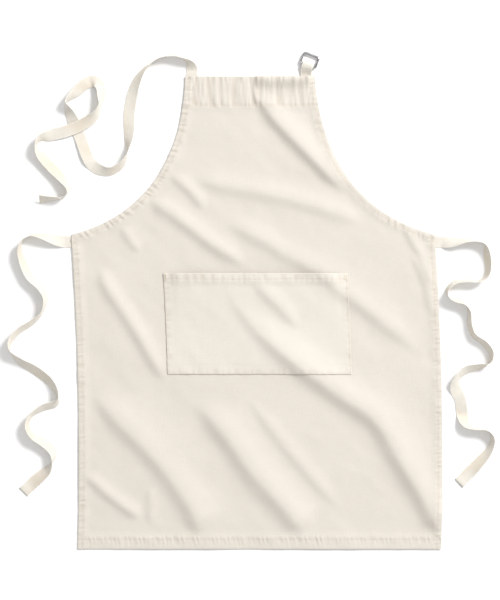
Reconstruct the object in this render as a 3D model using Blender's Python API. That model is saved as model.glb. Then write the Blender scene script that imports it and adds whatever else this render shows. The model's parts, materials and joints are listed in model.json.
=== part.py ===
"""A cotton bib apron lying flat on a table, front side up.

Metres, +Z up.  The table is the plane z = 0.  The origin is on the underside of the apron, on its centre
line and halfway between the bib's top edge and the skirt's bottom edge.  +Y points to the bib and +X to
the side of the rings.
"""

import math

import bmesh
import bpy
from mathutils import Vector

# Cloth and tape
CANVAS = 0.0008            # one layer of canvas
HEM_THICKNESS = 0.0024     # a hem turned twice is three layers
TAPE_WIDTH = 0.022
TAPE_THICKNESS = 0.001
THREAD_WIDTH = 0.0007
THREAD_HEIGHT = 0.0004
GAP = 0.0003               # clearance between pieces that touch

# The cut of the apron
APRON_LENGTH = 0.884
SKIRT_WIDTH = 0.680
BIB_WIDTH = 0.243
ARMHOLE_DEPTH = 0.296
ARMHOLE_CONTROLS = ((0.028, 0.46), (0.30, 0.87))  # shares of its width and depth, for a cubic curve
LAY_SKEW = 0.0196          # how far the apron leans as it lies: sideways per metre towards the skirt
LAY_BOW = 0.007            # how far the skirt bows to the right between its hem and its ties
SIDE_STEPS = 8             # straight pieces along each bowed side
TOP_BAND = 0.056
BOTTOM_HEM = 0.021
SIDE_HEM = 0.011
ARMHOLE_HEM = 0.011
SEAM_INSET = 0.0022        # from a hem's inner edge, or a pocket's edge, to its stitching

# The pocket
POCKET_WIDTH = 0.344
POCKET_HEIGHT = 0.189
POCKET_FALL = 0.368        # from the bib's top edge to the pocket's mouth
POCKET_SEAM = 0.008        # sewn strip along its sides and bottom
POCKET_BULGE = 0.009       # how far the mouth stands off the apron
MOUTH_HEM = 0.014
BARTACK_LENGTH = 0.012

# Sewn ends of the straps and of the ring tab
NECK_ROOT_X = -0.1085      # from the bib's centre line at its top edge
NECK_SEWN = 0.022
TIE_DROP = 0.0135          # from the skirt's corner down to the middle of the tie
TIE_SEWN = 0.0085
ANCHOR_SHOWS = 0.0006      # how far a sewn end stands out from the cloth's edge

# Ring tab and rings
TAB_ROOT_X = 0.105
TAB_SEWN = 0.020
TAB_THICKNESS = 0.0013     # two tapes pressed together
TAB_LEAN = 0.003           # how far the loop lies to the side of the tab's root
TAB_PRESSED = 0.007        # length over which its two tapes lie pressed together
LOOP_TAPER = 2.74          # from there to the middle of its loop, in loop radii
TAB_TURN = math.radians(-21)   # of the loop, seen from above
RING_WIRE = 0.003
RING_WIDTH = 0.033         # outside, along the bars
RING_DEPTH = 0.0235
RING_CORNER = 0.0035       # of the wire's centre line
RING_SHIFT = 0.0006        # of each ring along the tab, the lower one outwards and the upper one inwards
RING_SIDES = 8             # facets around the wire

# Routes of the free tapes: x, y from the tape's pivot, its roll in degrees and its lift off the table.
# The roll is 0 where the tape lies flat, positive where its left edge is up, and counts on past 90
# where the tape has turned over.
NECK_STRAP_ROUTE = (
    (0.0000, 0.0000, 0, 0.0000),
    (-0.0030, 0.0080, -32, 0.0000),
    (-0.0110, 0.0175, -78, 0.0000),
    (-0.0350, 0.0270, -104, 0.0000),
    (-0.0590, 0.0220, -92, 0.0000),
    (-0.0800, 0.0095, -100, 0.0000),
    (-0.0995, -0.0140, -130, 0.0000),
    (-0.1115, -0.0460, -160, 0.0000),
    (-0.1175, -0.0820, -174, 0.0000),
    (-0.1175, -0.1140, -158, 0.0000),
    (-0.1195, -0.1410, -118, 0.0000),
    (-0.1225, -0.1625, -82, 0.0000),
    (-0.1345, -0.1805, -56, 0.0000),
    (-0.1565, -0.1905, -42, 0.0000),
    (-0.1820, -0.1815, -8, 0.0000),
    (-0.1960, -0.1620, 14, 0.0000),
    (-0.2075, -0.1300, 4, 0.0000),
    (-0.2220, -0.0960, -6, 0.0000),
    (-0.2330, -0.0720, -58, 0.0000),
    (-0.2345, -0.0590, -98, 0.0000),
    (-0.2155, -0.0410, -148, 0.0000),
    (-0.1980, -0.0255, -168, 0.0005),
    (-0.1820, -0.0210, -197, 0.0005),
    (-0.1710, -0.0305, -213, 0.0005),
    (-0.1690, -0.0485, -228, 0.0005),
    (-0.1715, -0.0665, -258, 0.0010),
    (-0.1815, -0.0870, -222, 0.0026),
    (-0.2040, -0.1020, -192, 0.0038),
    (-0.2340, -0.1145, -184, 0.0038),
    (-0.2620, -0.1215, -196, 0.0018),
    (-0.2835, -0.1280, -240, 0.0000),
    (-0.2910, -0.1420, -262, 0.0000),
    (-0.2830, -0.1585, -225, 0.0000),
    (-0.2650, -0.1800, -213, 0.0000),
    (-0.2450, -0.2000, -218, 0.0000),
    (-0.2320, -0.2185, -245, 0.0000),
    (-0.2340, -0.2335, -268, 0.0000),
    (-0.2435, -0.2395, -264, 0.0000),
    (-0.2640, -0.2415, -244, 0.0000),
    (-0.2850, -0.2420, -222, 0.0000),
)
TIE_LEFT_ROUTE = (
    (0.0000, 0.0000, 0, 0.0),
    (-0.0170, 0.0035, 25, 0.0),
    (-0.0410, 0.0100, 58, 0.0),
    (-0.0620, 0.0125, 78, 0.0),
    (-0.0790, 0.0025, 97, 0.0),
    (-0.0840, -0.0170, 112, 0.0),
    (-0.0770, -0.0415, 128, 0.0),
    (-0.0655, -0.0655, 135, 0.0),
    (-0.0460, -0.0845, 128, 0.0),
    (-0.0360, -0.1070, 110, 0.0),
    (-0.0430, -0.1330, 98, 0.0),
    (-0.0610, -0.1505, 115, 0.0),
    (-0.0860, -0.1665, 118, 0.0),
    (-0.1020, -0.1865, 108, 0.0),
    (-0.1020, -0.2050, 88, 0.0),
    (-0.0845, -0.2235, 50, 0.0),
    (-0.0580, -0.2385, 42, 0.0),
    (-0.0320, -0.2580, 42, 0.0),
    (-0.0170, -0.2790, 62, 0.0),
    (-0.0120, -0.2950, 95, 0.0),
    (-0.0210, -0.3040, 130, 0.0),
    (-0.0415, -0.3100, 122, 0.0),
    (-0.0630, -0.3245, 108, 0.0),
    (-0.0705, -0.3435, 110, 0.0),
    (-0.0610, -0.3620, 122, 0.0),
    (-0.0415, -0.3740, 136, 0.0),
    (-0.0235, -0.3900, 134, 0.0),
    (-0.0220, -0.4095, 96, 0.0),
    (-0.0340, -0.4275, 45, 0.0),
    (-0.0545, -0.4455, 10, 0.0),
    (-0.0780, -0.4680, 0, 0.0),
)
TIE_RIGHT_ROUTE = (
    (0.0000, 0.0000, 0, 0.0),
    (0.0195, -0.0005, -28, 0.0),
    (0.0440, 0.0035, -62, 0.0),
    (0.0665, 0.0025, -78, 0.0),
    (0.0805, -0.0060, -98, 0.0),
    (0.0845, -0.0235, -120, 0.0),
    (0.0870, -0.0450, -120, 0.0),
    (0.0830, -0.0640, -112, 0.0),
    (0.0680, -0.0740, -98, 0.0),
    (0.0460, -0.0720, -106, 0.0),
    (0.0235, -0.0760, -110, 0.0),
    (0.0095, -0.0910, -106, 0.0),
    (0.0140, -0.1040, -88, 0.0),
    (0.0280, -0.1100, -72, 0.0),
    (0.0430, -0.1160, -82, 0.0),
    (0.0510, -0.1310, -104, 0.0),
    (0.0520, -0.1555, -112, 0.0),
    (0.0600, -0.1750, -112, 0.0),
    (0.0795, -0.1900, -118, 0.0),
    (0.0920, -0.2070, -112, 0.0),
    (0.0890, -0.2265, -92, 0.0),
    (0.0710, -0.2335, -58, 0.0),
    (0.0460, -0.2395, -42, 0.0),
    (0.0295, -0.2545, -55, 0.0),
    (0.0260, -0.2735, -12, 0.0),
    (0.0350, -0.2955, 15, 0.0),
    (0.0385, -0.3200, 2, 0.0),
    (0.0450, -0.3395, -48, 0.0),
    (0.0625, -0.3475, -72, 0.0),
    (0.0850, -0.3515, -82, 0.0),
    (0.0950, -0.3675, -104, 0.0),
    (0.0880, -0.3900, -125, 0.0),
    (0.0690, -0.4130, -152, 0.0),
    (0.0515, -0.4320, -172, 0.0),
    (0.0325, -0.4515, -180, 0.0),
)
ROUTE_STEP = 0.005         # length of tape between two cross-sections

# Derived places
HALF_SKIRT = SKIRT_WIDTH / 2
HALF_BIB = BIB_WIDTH / 2
BIB_TOP_Y = APRON_LENGTH / 2
SKIRT_TOP_Y = BIB_TOP_Y - ARMHOLE_DEPTH
SKIRT_BOTTOM_Y = -APRON_LENGTH / 2
TIE_Y = SKIRT_TOP_Y - TIE_DROP
PIVOT_OUT = ANCHOR_SHOWS + GAP + TAPE_WIDTH / 2   # from the cloth's edge to a tape's pivot
POCKET_TOP_Y = BIB_TOP_Y - POCKET_FALL
RING_STACK = RING_WIRE + 1.5 * GAP                # from one ring's bar up to the other's, inside the loop
LOOP_RADIUS = TAPE_THICKNESS + 2 * GAP + RING_WIRE / 2 + math.hypot(RING_STACK / 2, RING_SHIFT)
TAB_LENGTH = TAB_PRESSED + LOOP_TAPER * LOOP_RADIUS   # from the bib's edge to the middle of its loop


def laid_x(x, y):
    """Sideways place of a point of the cut once the apron lies on the table, leaning and bowed a little."""
    up = min(1, max(0, (y - SKIRT_BOTTOM_Y) / (TIE_Y - SKIRT_BOTTOM_Y)))
    return x - LAY_SKEW * y + LAY_BOW * 4 * up * (1 - up)


def laid(x, y):
    """A point of the cut as it lies on the table."""
    return laid_x(x, y), y


def clear_scene():
    """Removes every object that the file starts with."""
    for thing in list(bpy.data.objects):
        bpy.data.objects.remove(thing, do_unlink=True)


def material(name, colour, roughness, metallic=0.0):
    """A plain Principled material."""
    made = bpy.data.materials.new(name)
    made.use_nodes = True
    shader = made.node_tree.nodes["Principled BSDF"]
    shader.inputs["Base Color"].default_value = (*colour, 1.0)
    shader.inputs["Roughness"].default_value = roughness
    shader.inputs["Metallic"].default_value = metallic
    return made


def add_object(name, bm, finish, parent=None):
    """Turns a bmesh in world coordinates into an object of the scene."""
    bmesh.ops.recalc_face_normals(bm, faces=bm.faces)
    mesh = bpy.data.meshes.new(name)
    bm.to_mesh(mesh)
    bm.free()
    mesh.materials.append(finish)
    thing = bpy.data.objects.new(name, mesh)
    bpy.context.scene.collection.objects.link(thing)
    if parent:
        thing.parent = parent
        thing.matrix_parent_inverse = parent.matrix_basis.inverted()
    return thing


def add_pivot(name, place, parent=None):
    """An empty on a joint's axis."""
    empty = bpy.data.objects.new(name, None)
    empty.location = place
    bpy.context.scene.collection.objects.link(empty)
    if parent:
        empty.parent = parent
        empty.matrix_parent_inverse = parent.matrix_basis.inverted()
    return empty


def add_sections(bm, sections, twisted=False):
    """Joins closed cross-sections with the same number of points into one solid with flat ends.

    A twisted strip of four-cornered sections gets triangles whose diagonals run the same way above and
    below, so that its two faces stay apart.
    """
    rings = [[bm.verts.new(point) for point in section] for section in sections]
    for near, far in zip(rings, rings[1:]):
        for i in range(len(near)):
            j = (i + 1) % len(near)
            if not twisted:
                bm.faces.new((near[i], near[j], far[j], far[i]))
            elif i < 2:
                bm.faces.new((near[i], near[j], far[j]))
                bm.faces.new((near[i], far[j], far[i]))
            else:
                bm.faces.new((near[i], near[j], far[i]))
                bm.faces.new((near[j], far[j], far[i]))
    bm.faces.new(reversed(rings[0]))
    bm.faces.new(rings[-1])


def box(bm, low, high):
    """A block between two corners."""
    sections = [
        [(x, low[1], low[2]), (x, high[1], low[2]), (x, high[1], high[2]), (x, low[1], high[2])]
        for x in (low[0], high[0])
    ]
    add_sections(bm, sections)


def cut_box(target, name, low, high):
    """Cuts a block out of an object with a Boolean modifier and a hidden cutter."""
    bm = bmesh.new()
    box(bm, low, high)
    cut_with(target, add_object(name, bm, target.data.materials[0]))


def cut_with(target, cutter):
    """Cuts one object out of another and hides the cutter."""
    cutter.hide_render = True
    cutter.display_type = "WIRE"
    modifier = target.modifiers.new(cutter.name, "BOOLEAN")
    modifier.operation = "DIFFERENCE"
    modifier.solver = "EXACT"
    modifier.object = cutter


# ---------------------------------------------------------------- the cloth


def armhole_curve(share):
    """A point of the right armhole at a share of its curve, from the bib's corner to the skirt's corner."""
    width = HALF_SKIRT - HALF_BIB
    (near_x, near_y), (far_x, far_y) = ARMHOLE_CONTROLS
    rest = 1 - share
    weights = (rest**3, 3 * rest**2 * share, 3 * rest * share**2, share**3)
    across = sum(w * c for w, c in zip(weights, (0, near_x, far_x, 1)))
    down = sum(w * c for w, c in zip(weights, (0, near_y, far_y, 1)))
    return HALF_BIB + width * across, BIB_TOP_Y - ARMHOLE_DEPTH * down


def armhole_points():
    """The right armhole, with its first stretch straight past the top band."""
    first = 0.02
    while BIB_TOP_Y - armhole_curve(first)[1] < TOP_BAND + ARMHOLE_HEM:
        first += 0.01
    steps = 10
    shares = [0] + [first + (1 - first) * i / steps for i in range(steps + 1)]
    return [armhole_curve(share) for share in shares]


def panel_outline():
    """The cut of the apron, counterclockwise, and the width of the hem along each edge."""
    right = armhole_points()
    left = [(-x, y) for x, y in right]
    corners = [(-HALF_SKIRT, SKIRT_BOTTOM_Y), (HALF_SKIRT, SKIRT_BOTTOM_Y)]
    rise = (SKIRT_TOP_Y - SKIRT_BOTTOM_Y) / SIDE_STEPS
    side = [(HALF_SKIRT, SKIRT_BOTTOM_Y + rise * i) for i in range(1, SIDE_STEPS)]
    points = corners + side + right[::-1] + left + [(-x, y) for x, y in side[::-1]]
    armhole = [ARMHOLE_HEM] * (len(right) - 1)
    sides = [SIDE_HEM] * SIDE_STEPS
    hems = [BOTTOM_HEM] + sides + armhole + [TOP_BAND] + armhole + sides
    return points, hems


def inset(points, widths):
    """Moves each edge of an outline inwards by its own width; the corners are where the edges meet."""
    moved = []
    for i, point in enumerate(points):
        before, here, after = Vector(points[i - 1]), Vector(point), Vector(points[(i + 1) % len(points)])
        first, second = (here - before).normalized(), (after - here).normalized()
        first_in, second_in = Vector((-first.y, first.x)), Vector((-second.y, second.x))
        turn = first.cross(second)
        start = here + first_in * widths[i - 1]
        target = here + second_in * widths[i]
        if abs(turn) < 1e-6:
            moved.append(tuple(target))
            continue
        along = (target - start).cross(second) / turn
        moved.append(tuple(start + first * along))
    return moved


def build_panel(finish):
    """The canvas with its turned hems: one sheet, thicker along every edge."""
    outline, hems = panel_outline()
    edge = [laid(*point) for point in outline]
    fold = [laid(*point) for point in inset(outline, hems)]
    bm = bmesh.new()
    loops = []
    for ring, height in ((edge, 0), (edge, HEM_THICKNESS), (fold, HEM_THICKNESS), (fold, CANVAS)):
        loops.append([(x, y, height) for x, y in ring])
    add_sections(bm, loops)
    panel = add_object("body_panel", bm, finish)
    for side in (-1, 1):
        root = laid_x(side * HALF_SKIRT, TIE_Y)
        near, far = sorted((root + side * SIDE_HEM, root - side * (TIE_SEWN + GAP)))
        half = TAPE_WIDTH / 2 + GAP
        low = (near, TIE_Y - half, -0.001)
        cut_box(panel, f"tie_recess_{side}", low, (far, TIE_Y + half, TAPE_THICKNESS + GAP))
    for name, place, sewn, thick in (
        ("neck", NECK_ROOT_X, NECK_SEWN, TAPE_THICKNESS),
        ("tab", TAB_ROOT_X, TAB_SEWN, TAB_THICKNESS),
    ):
        middle = laid_x(place, BIB_TOP_Y)
        half = TAPE_WIDTH / 2 + GAP
        low = (middle - half, BIB_TOP_Y - sewn - GAP, -0.001)
        cut_box(panel, f"{name}_recess", low, (middle + half, BIB_TOP_Y + 0.01, thick + GAP))
    return panel


def pocket_height(across, up):
    """How far the pocket's underside stands off the canvas; across runs -1 to 1, up 0 to 1."""
    crown = (1 - across**4) * math.sin(up * math.pi / 2) ** 1.3
    return POCKET_BULGE * crown


def build_pocket(finish):
    """The patch pocket: flat where it is sewn, bowed so that a hand goes in at its mouth."""
    columns, rows = 14, 7
    half = POCKET_WIDTH / 2
    base = CANVAS + GAP
    xs = [-half] + [(half - POCKET_SEAM) * (2 * i / columns - 1) for i in range(columns + 1)] + [half]
    ys = [0] + [POCKET_SEAM + (POCKET_HEIGHT - MOUTH_HEM - POCKET_SEAM) * i / rows for i in range(rows + 1)]
    ys.append(POCKET_HEIGHT)
    floor_y = POCKET_TOP_Y - POCKET_HEIGHT
    bm = bmesh.new()
    lower, upper = [], []
    for y in ys:
        up = max(0, (y - POCKET_SEAM) / (POCKET_HEIGHT - POCKET_SEAM))
        thick = HEM_THICKNESS if y > POCKET_HEIGHT - MOUTH_HEM / 2 else CANVAS
        row = []
        for x in xs:
            across = max(-1, min(1, x / (half - POCKET_SEAM)))
            row.append((*laid(x, floor_y + y), base + pocket_height(across, up)))
        lower.append([bm.verts.new(point) for point in row])
        upper.append([bm.verts.new((x, y, z + thick)) for x, y, z in row])
    last_row, last_column = len(ys) - 1, len(xs) - 1
    for r in range(last_row):
        for c in range(last_column):
            for sheet in (lower, upper):
                bm.faces.new((sheet[r][c], sheet[r][c + 1], sheet[r + 1][c + 1], sheet[r + 1][c]))
    for r in range(last_row):
        for c in (0, last_column):
            bm.faces.new((lower[r][c], lower[r + 1][c], upper[r + 1][c], upper[r][c]))
    for c in range(last_column):
        for r in (0, last_row):
            bm.faces.new((lower[r][c], lower[r][c + 1], upper[r][c + 1], upper[r][c]))
    return add_object("pocket_panel", bm, finish)


# ---------------------------------------------------------------- tapes


def route_curve(route, step):
    """Places read every step from a smooth curve through a route: x, y, roll and lift."""
    dense = []
    padded = [route[0]] + list(route) + [route[-1]]
    pieces = 16
    for a, b, c, d in zip(padded, padded[1:], padded[2:], padded[3:]):
        for i in range(pieces):
            t = i / pieces
            dense.append(tuple(
                0.5 * (2 * q + (r - p) * t + (2 * p - 5 * q + 4 * r - s) * t**2 + (3 * q - p - 3 * r + s) * t**3)
                for p, q, r, s in zip(a, b, c, d)
            ))
    dense.append(tuple(route[-1]))
    length = [0.0]
    for near, far in zip(dense, dense[1:]):
        length.append(length[-1] + math.dist(near[:2], far[:2]))
    count = max(2, round(length[-1] / step))
    places, k = [], 0
    for i in range(count + 1):
        goal = length[-1] * i / count
        while k < len(length) - 2 and length[k + 1] < goal:
            k += 1
        share = (goal - length[k]) / (length[k + 1] - length[k])
        places.append(tuple(n + (f - n) * share for n, f in zip(dense[k], dense[k + 1])))
    return places


def tape_section(place, heading, roll, lift, half_width):
    """The four corners of a tape's cross-section, with its lower edge on the table."""
    left = Vector((-heading.y, heading.x, 0))
    across = left * math.cos(roll) + Vector((0, 0, math.sin(roll)))
    through = heading.cross(across)
    height = half_width * abs(math.sin(roll)) + TAPE_THICKNESS / 2 * abs(math.cos(roll)) + lift
    middle = Vector((place[0], place[1], height))
    side, face = across * half_width, through * (TAPE_THICKNESS / 2)
    return [middle - side - face, middle + side - face, middle + side + face, middle - side + face]


def build_tape(name, pivot, route, heading, finish, parent):
    """A free tape from its round end at the pivot to its cut end."""
    half = TAPE_WIDTH / 2
    sections = []
    for degrees in (30, 50, 70):
        angle = math.radians(degrees)
        back = Vector(pivot) - heading * (half * math.cos(angle))
        sections.append(tape_section(back, heading, 0, 0, half * math.sin(angle)))
    places = route_curve(route, ROUTE_STEP)
    for i, (x, y, roll, lift) in enumerate(places):
        before, after = places[max(0, i - 1)], places[min(len(places) - 1, i + 1)]
        ahead = Vector((after[0] - before[0], after[1] - before[1], 0)).normalized()
        if i == 0:
            ahead = heading
        place = (pivot[0] + x, pivot[1] + y)
        sections.append(tape_section(place, ahead, math.radians(roll), lift, half))
    bm = bmesh.new()
    add_sections(bm, sections, twisted=True)
    return add_object(name, bm, finish, parent)


def build_tie(side, route, finishes):
    """One waist tie with its sewn end, on the left (-1) or the right (1)."""
    word = "left" if side < 0 else "right"
    edge = laid_x(side * HALF_SKIRT, TIE_Y)
    half = TAPE_WIDTH / 2
    inner, outer = sorted((edge - side * TIE_SEWN, edge + side * ANCHOR_SHOWS))
    bm = bmesh.new()
    box(bm, (inner, TIE_Y - half, 0), (outer, TIE_Y + half, TAPE_THICKNESS))
    add_object(f"tie_sewn_end_{word}", bm, finishes["tape"])
    pivot = (edge + side * PIVOT_OUT, TIE_Y, 0)
    swing = add_pivot(f"tie_{word}_pivot", pivot)
    build_tape(f"waist_tie_{word}", pivot, route, Vector((side, 0, 0)), finishes["tape"], swing)


def build_neck_strap(finishes):
    """The neck strap with its sewn end at the bib's left corner."""
    middle = laid_x(NECK_ROOT_X, BIB_TOP_Y)
    half = TAPE_WIDTH / 2
    bm = bmesh.new()
    low = (middle - half, BIB_TOP_Y - NECK_SEWN, 0)
    box(bm, low, (middle + half, BIB_TOP_Y + ANCHOR_SHOWS, TAPE_THICKNESS))
    add_object("neck_strap_sewn_end", bm, finishes["tape"])
    pivot = (middle, BIB_TOP_Y + PIVOT_OUT, 0)
    swing = add_pivot("neck_strap_pivot", pivot)
    build_tape("neck_strap", pivot, NECK_STRAP_ROUTE, Vector((0, 1, 0)), finishes["tape"], swing)


# ---------------------------------------------------------------- ring tab and rings


def loop_middle():
    """Centre of the loop at the tab's end."""
    return Vector((laid_x(TAB_ROOT_X, BIB_TOP_Y) + TAB_LEAN, BIB_TOP_Y + TAB_LENGTH, LOOP_RADIUS))


def tab_point(across, along, height):
    """A point of the tab: its width turns from the bib's edge to the loop's own direction."""
    middle = loop_middle()
    root = Vector((laid_x(TAB_ROOT_X, BIB_TOP_Y) + across, BIB_TOP_Y + along, height))
    turned = Vector((across * math.cos(TAB_TURN), across * math.sin(TAB_TURN), 0))
    lead = along - TAB_LENGTH
    ahead = Vector((-lead * math.sin(TAB_TURN), lead * math.cos(TAB_TURN), 0))
    end = Vector((middle.x, middle.y, height)) + turned + ahead
    share = min(1, max(0, along / TAB_LENGTH))
    return root.lerp(end, share)


def prism(outline, reach):
    """A solid across the tab, to a reach on each side, from an outline of along and height."""
    bm = bmesh.new()
    add_sections(bm, [[tab_point(across, *point) for point in outline] for across in (-reach, reach)])
    return bm


def loop_outline(start, radius, root_low, root_high):
    """A drop shape: from the tab's root to an arc around the loop's centre."""
    arc = []
    facets = 10
    for i in range(facets + 1):
        angle = -math.pi / 2 + math.pi * i / facets
        arc.append((TAB_LENGTH + radius * math.cos(angle), LOOP_RADIUS + radius * math.sin(angle)))
    return [(start, root_low)] + arc + [(start, root_high)]


def build_ring_tab(finishes):
    """The folded tape that holds the rings, and its sewn end."""
    middle = laid_x(TAB_ROOT_X, BIB_TOP_Y)
    half = TAPE_WIDTH / 2
    bm = bmesh.new()
    low = (middle - half, BIB_TOP_Y - TAB_SEWN, 0)
    box(bm, low, (middle + half, BIB_TOP_Y + ANCHOR_SHOWS, TAB_THICKNESS))
    add_object("ring_tab_sewn_end", bm, finishes["tape"])

    fold_y = BIB_TOP_Y + ANCHOR_SHOWS + GAP / 2
    fold = add_pivot("ring_tab_pivot", (middle, fold_y, TAB_THICKNESS / 2))
    start = ANCHOR_SHOWS + GAP + TAB_THICKNESS / 2
    outer = loop_outline(start, LOOP_RADIUS, 0, TAB_THICKNESS)
    tab = add_object("ring_tab", prism(outer, half), finishes["tape"], fold)
    inner = loop_outline(TAB_PRESSED, LOOP_RADIUS - TAPE_THICKNESS, TAPE_THICKNESS, TAB_THICKNESS)
    cut_with(tab, add_object("ring_tab_hollow", prism(inner, half + TAPE_THICKNESS), finishes["tape"]))
    return fold


def ring_path(near, far):
    """Centre line of a rectangular ring: along the bars and away from the loop, with round corners."""
    half = (RING_WIDTH - RING_WIRE) / 2
    corners = ((-half, near), (half, near), (half, far), (-half, far))
    path = []
    steps = 4
    for i, (x, y) in enumerate(corners):
        centre_x = x - math.copysign(RING_CORNER, x)
        centre_y = y + RING_CORNER if i < 2 else y - RING_CORNER
        for k in range(steps + 1):
            angle = math.pi + math.pi / 2 * (i + k / steps)
            path.append((centre_x + RING_CORNER * math.cos(angle), centre_y + RING_CORNER * math.sin(angle)))
    return path


def build_ring(name, start, near_height, far_height, finish, parent):
    """One wire ring; its near bar lies in the tab's loop, near the loop's middle, and its far bar lower."""
    middle = loop_middle()
    bar = Vector((math.cos(TAB_TURN), math.sin(TAB_TURN), 0))
    away = Vector((-bar.y, bar.x, 0))
    reach = RING_DEPTH - RING_WIRE
    slope = (far_height - near_height) / reach
    radius = RING_WIRE / 2
    path = ring_path(start, start + reach)
    bm = bmesh.new()
    rings = []
    for i, (x, y) in enumerate(path):
        before, after = path[i - 1], path[(i + 1) % len(path)]
        tangent = (bar * (after[0] - before[0]) + away * (after[1] - before[1])).normalized()
        out = tangent.cross(Vector((0, 0, 1)))
        centre = middle + bar * x + away * y
        centre.z = near_height + slope * (y - start)
        ring = []
        for k in range(RING_SIDES):
            angle = 2 * math.pi * (k + 0.5) / RING_SIDES
            ring.append(bm.verts.new(centre + (out * math.cos(angle) + Vector((0, 0, math.sin(angle)))) * radius))
        rings.append(ring)
    for near, far in zip(rings, rings[1:] + rings[:1]):
        for k in range(RING_SIDES):
            n = (k + 1) % RING_SIDES
            bm.faces.new((near[k], near[n], far[n], far[k]))
    ring_object = add_object(name, bm, finish, parent)
    ring_object.data.shade_smooth()
    return ring_object


def build_rings(finishes, tab_fold):
    """Two rings hanging in the same loop, one on the other."""
    middle = loop_middle()
    pivot = add_pivot("rings_pivot", middle, tab_fold)
    near = middle.z - RING_STACK / 2
    far = RING_WIRE / 2
    metal = finishes["metal"]
    build_ring("ring_lower", RING_SHIFT, near, far, metal, pivot)
    build_ring("ring_upper", -RING_SHIFT, near + RING_STACK, far + RING_STACK, metal, pivot)


# ---------------------------------------------------------------- stitching


def build_thread(name, path, base, finish):
    """A line of stitching as one thin strip along a path, lying on the cloth."""
    half = THREAD_WIDTH / 2
    sections = []
    for i, point in enumerate(path):
        before = path[max(0, i - 1)]
        after = path[min(len(path) - 1, i + 1)]
        heading = Vector((after[0] - before[0], after[1] - before[1])).normalized()
        side = Vector((-heading.y, heading.x)) * half
        x, y = point
        low, high = base + GAP, base + GAP + THREAD_HEIGHT
        sections.append([
            (x - side.x, y - side.y, low), (x + side.x, y + side.y, low),
            (x + side.x, y + side.y, high), (x - side.x, y - side.y, high),
        ])
    bm = bmesh.new()
    add_sections(bm, sections)
    return add_object(name, bm, finish)


def build_hem_threads(finish):
    """The stitching along each hem, just outside the hem's inner edge."""
    outline, hems = panel_outline()
    inner = inset(outline, [width - SEAM_INSET for width in hems])
    steps = len(armhole_points()) - 1
    ends = 2 * THREAD_WIDTH + GAP
    edges = (
        ("bottom_hem_thread", 1),
        ("side_hem_thread_right", SIDE_STEPS),
        ("armhole_thread_right", steps),
        ("top_band_thread", 1),
        ("armhole_thread_left", steps),
        ("side_hem_thread_left", SIDE_STEPS),
    )
    inner.append(inner[0])
    start = 0
    for name, pieces in edges:
        path = [Vector(point) for point in inner[start:start + pieces + 1]]
        start += pieces
        first_ahead = (path[1] - path[0]).normalized() * ends
        last_ahead = (path[-1] - path[-2]).normalized() * ends
        path = [path[0] + first_ahead] + path[1:-1] + [path[-1] - last_ahead]
        build_thread(name, [laid(*point) for point in path], HEM_THICKNESS, finish)


def build_pocket_threads(finish):
    """The pocket's seam, the line of its mouth hem and the two bartacks at the mouth's corners."""
    half = POCKET_WIDTH / 2 - SEAM_INSET
    low = POCKET_TOP_Y - POCKET_HEIGHT + SEAM_INSET
    top = POCKET_TOP_Y - MOUTH_HEM / 2
    base = 2 * CANVAS + GAP
    seam = [(-half, top - 2 * MOUTH_HEM), (-half, low), (half, low), (half, top - 2 * MOUTH_HEM)]
    build_thread("pocket_seam_thread", [laid(*point) for point in seam], base, finish)
    for side, word in ((-1, "left"), (1, "right")):
        x = side * (POCKET_WIDTH / 2 - POCKET_SEAM / 2)
        path = [laid(x, POCKET_TOP_Y - GAP), laid(x, POCKET_TOP_Y - BARTACK_LENGTH)]
        build_thread(f"pocket_bartack_{word}", path, CANVAS + GAP + HEM_THICKNESS, finish)


def build_box_stitch(name, middle, width, height, finish):
    """A square of stitching that holds a sewn tape end to the hem above it."""
    x, y = middle
    half_w, half_h = width / 2, height / 2
    open_end = 2 * THREAD_WIDTH
    path = [(x - half_w, y + half_h - open_end), (x - half_w, y - half_h), (x + half_w, y - half_h)]
    path += [(x + half_w, y + half_h), (x - half_w + open_end, y + half_h)]
    build_thread(name, path, HEM_THICKNESS, finish)


def build_box_stitches(finish):
    """The box stitches of the neck strap, the ring tab and both ties."""
    inside = TAPE_WIDTH - 0.004
    for name, place, sewn in (("neck_strap", NECK_ROOT_X, NECK_SEWN), ("ring_tab", TAB_ROOT_X, TAB_SEWN)):
        middle = (laid_x(place, BIB_TOP_Y), BIB_TOP_Y - sewn / 2)
        build_box_stitch(f"{name}_box_stitch", middle, inside, sewn - 0.004, finish)
    for side, word in ((-1, "left"), (1, "right")):
        edge = laid_x(side * HALF_SKIRT, TIE_Y)
        middle = (edge - side * (TIE_SEWN / 2 - SEAM_INSET / 3), TIE_Y)
        build_box_stitch(f"tie_box_stitch_{word}", middle, TIE_SEWN - 0.0035, inside, finish)


def main():
    """Builds the apron."""
    clear_scene()
    finishes = {
        "canvas": material("natural_canvas", (0.80, 0.77, 0.71), 0.9),
        "tape": material("cotton_tape", (0.93, 0.91, 0.84), 0.85),
        "thread": material("cotton_thread", (0.86, 0.83, 0.77), 0.8),
        "metal": material("nickel_wire", (0.55, 0.55, 0.55), 0.3, 1.0),
    }
    build_panel(finishes["canvas"])
    build_pocket(finishes["canvas"])
    build_neck_strap(finishes)
    build_tie(-1, TIE_LEFT_ROUTE, finishes)
    build_tie(1, TIE_RIGHT_ROUTE, finishes)
    tab_fold = build_ring_tab(finishes)
    build_rings(finishes, tab_fold)
    build_hem_threads(finishes["thread"])
    build_pocket_threads(finishes["thread"])
    build_box_stitches(finishes["thread"])


main()
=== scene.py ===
"""Looks of a natural cotton bib apron that lies flat on a table, front side up.

Metres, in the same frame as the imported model: the table is z = 0, +Y points to the bib.
"""

import json
import logging
import math
from dataclasses import dataclass, field
from enum import Enum

import bmesh
import bpy
import numpy as np
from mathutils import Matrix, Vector
from mathutils.geometry import delaunay_2d_cdt


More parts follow.
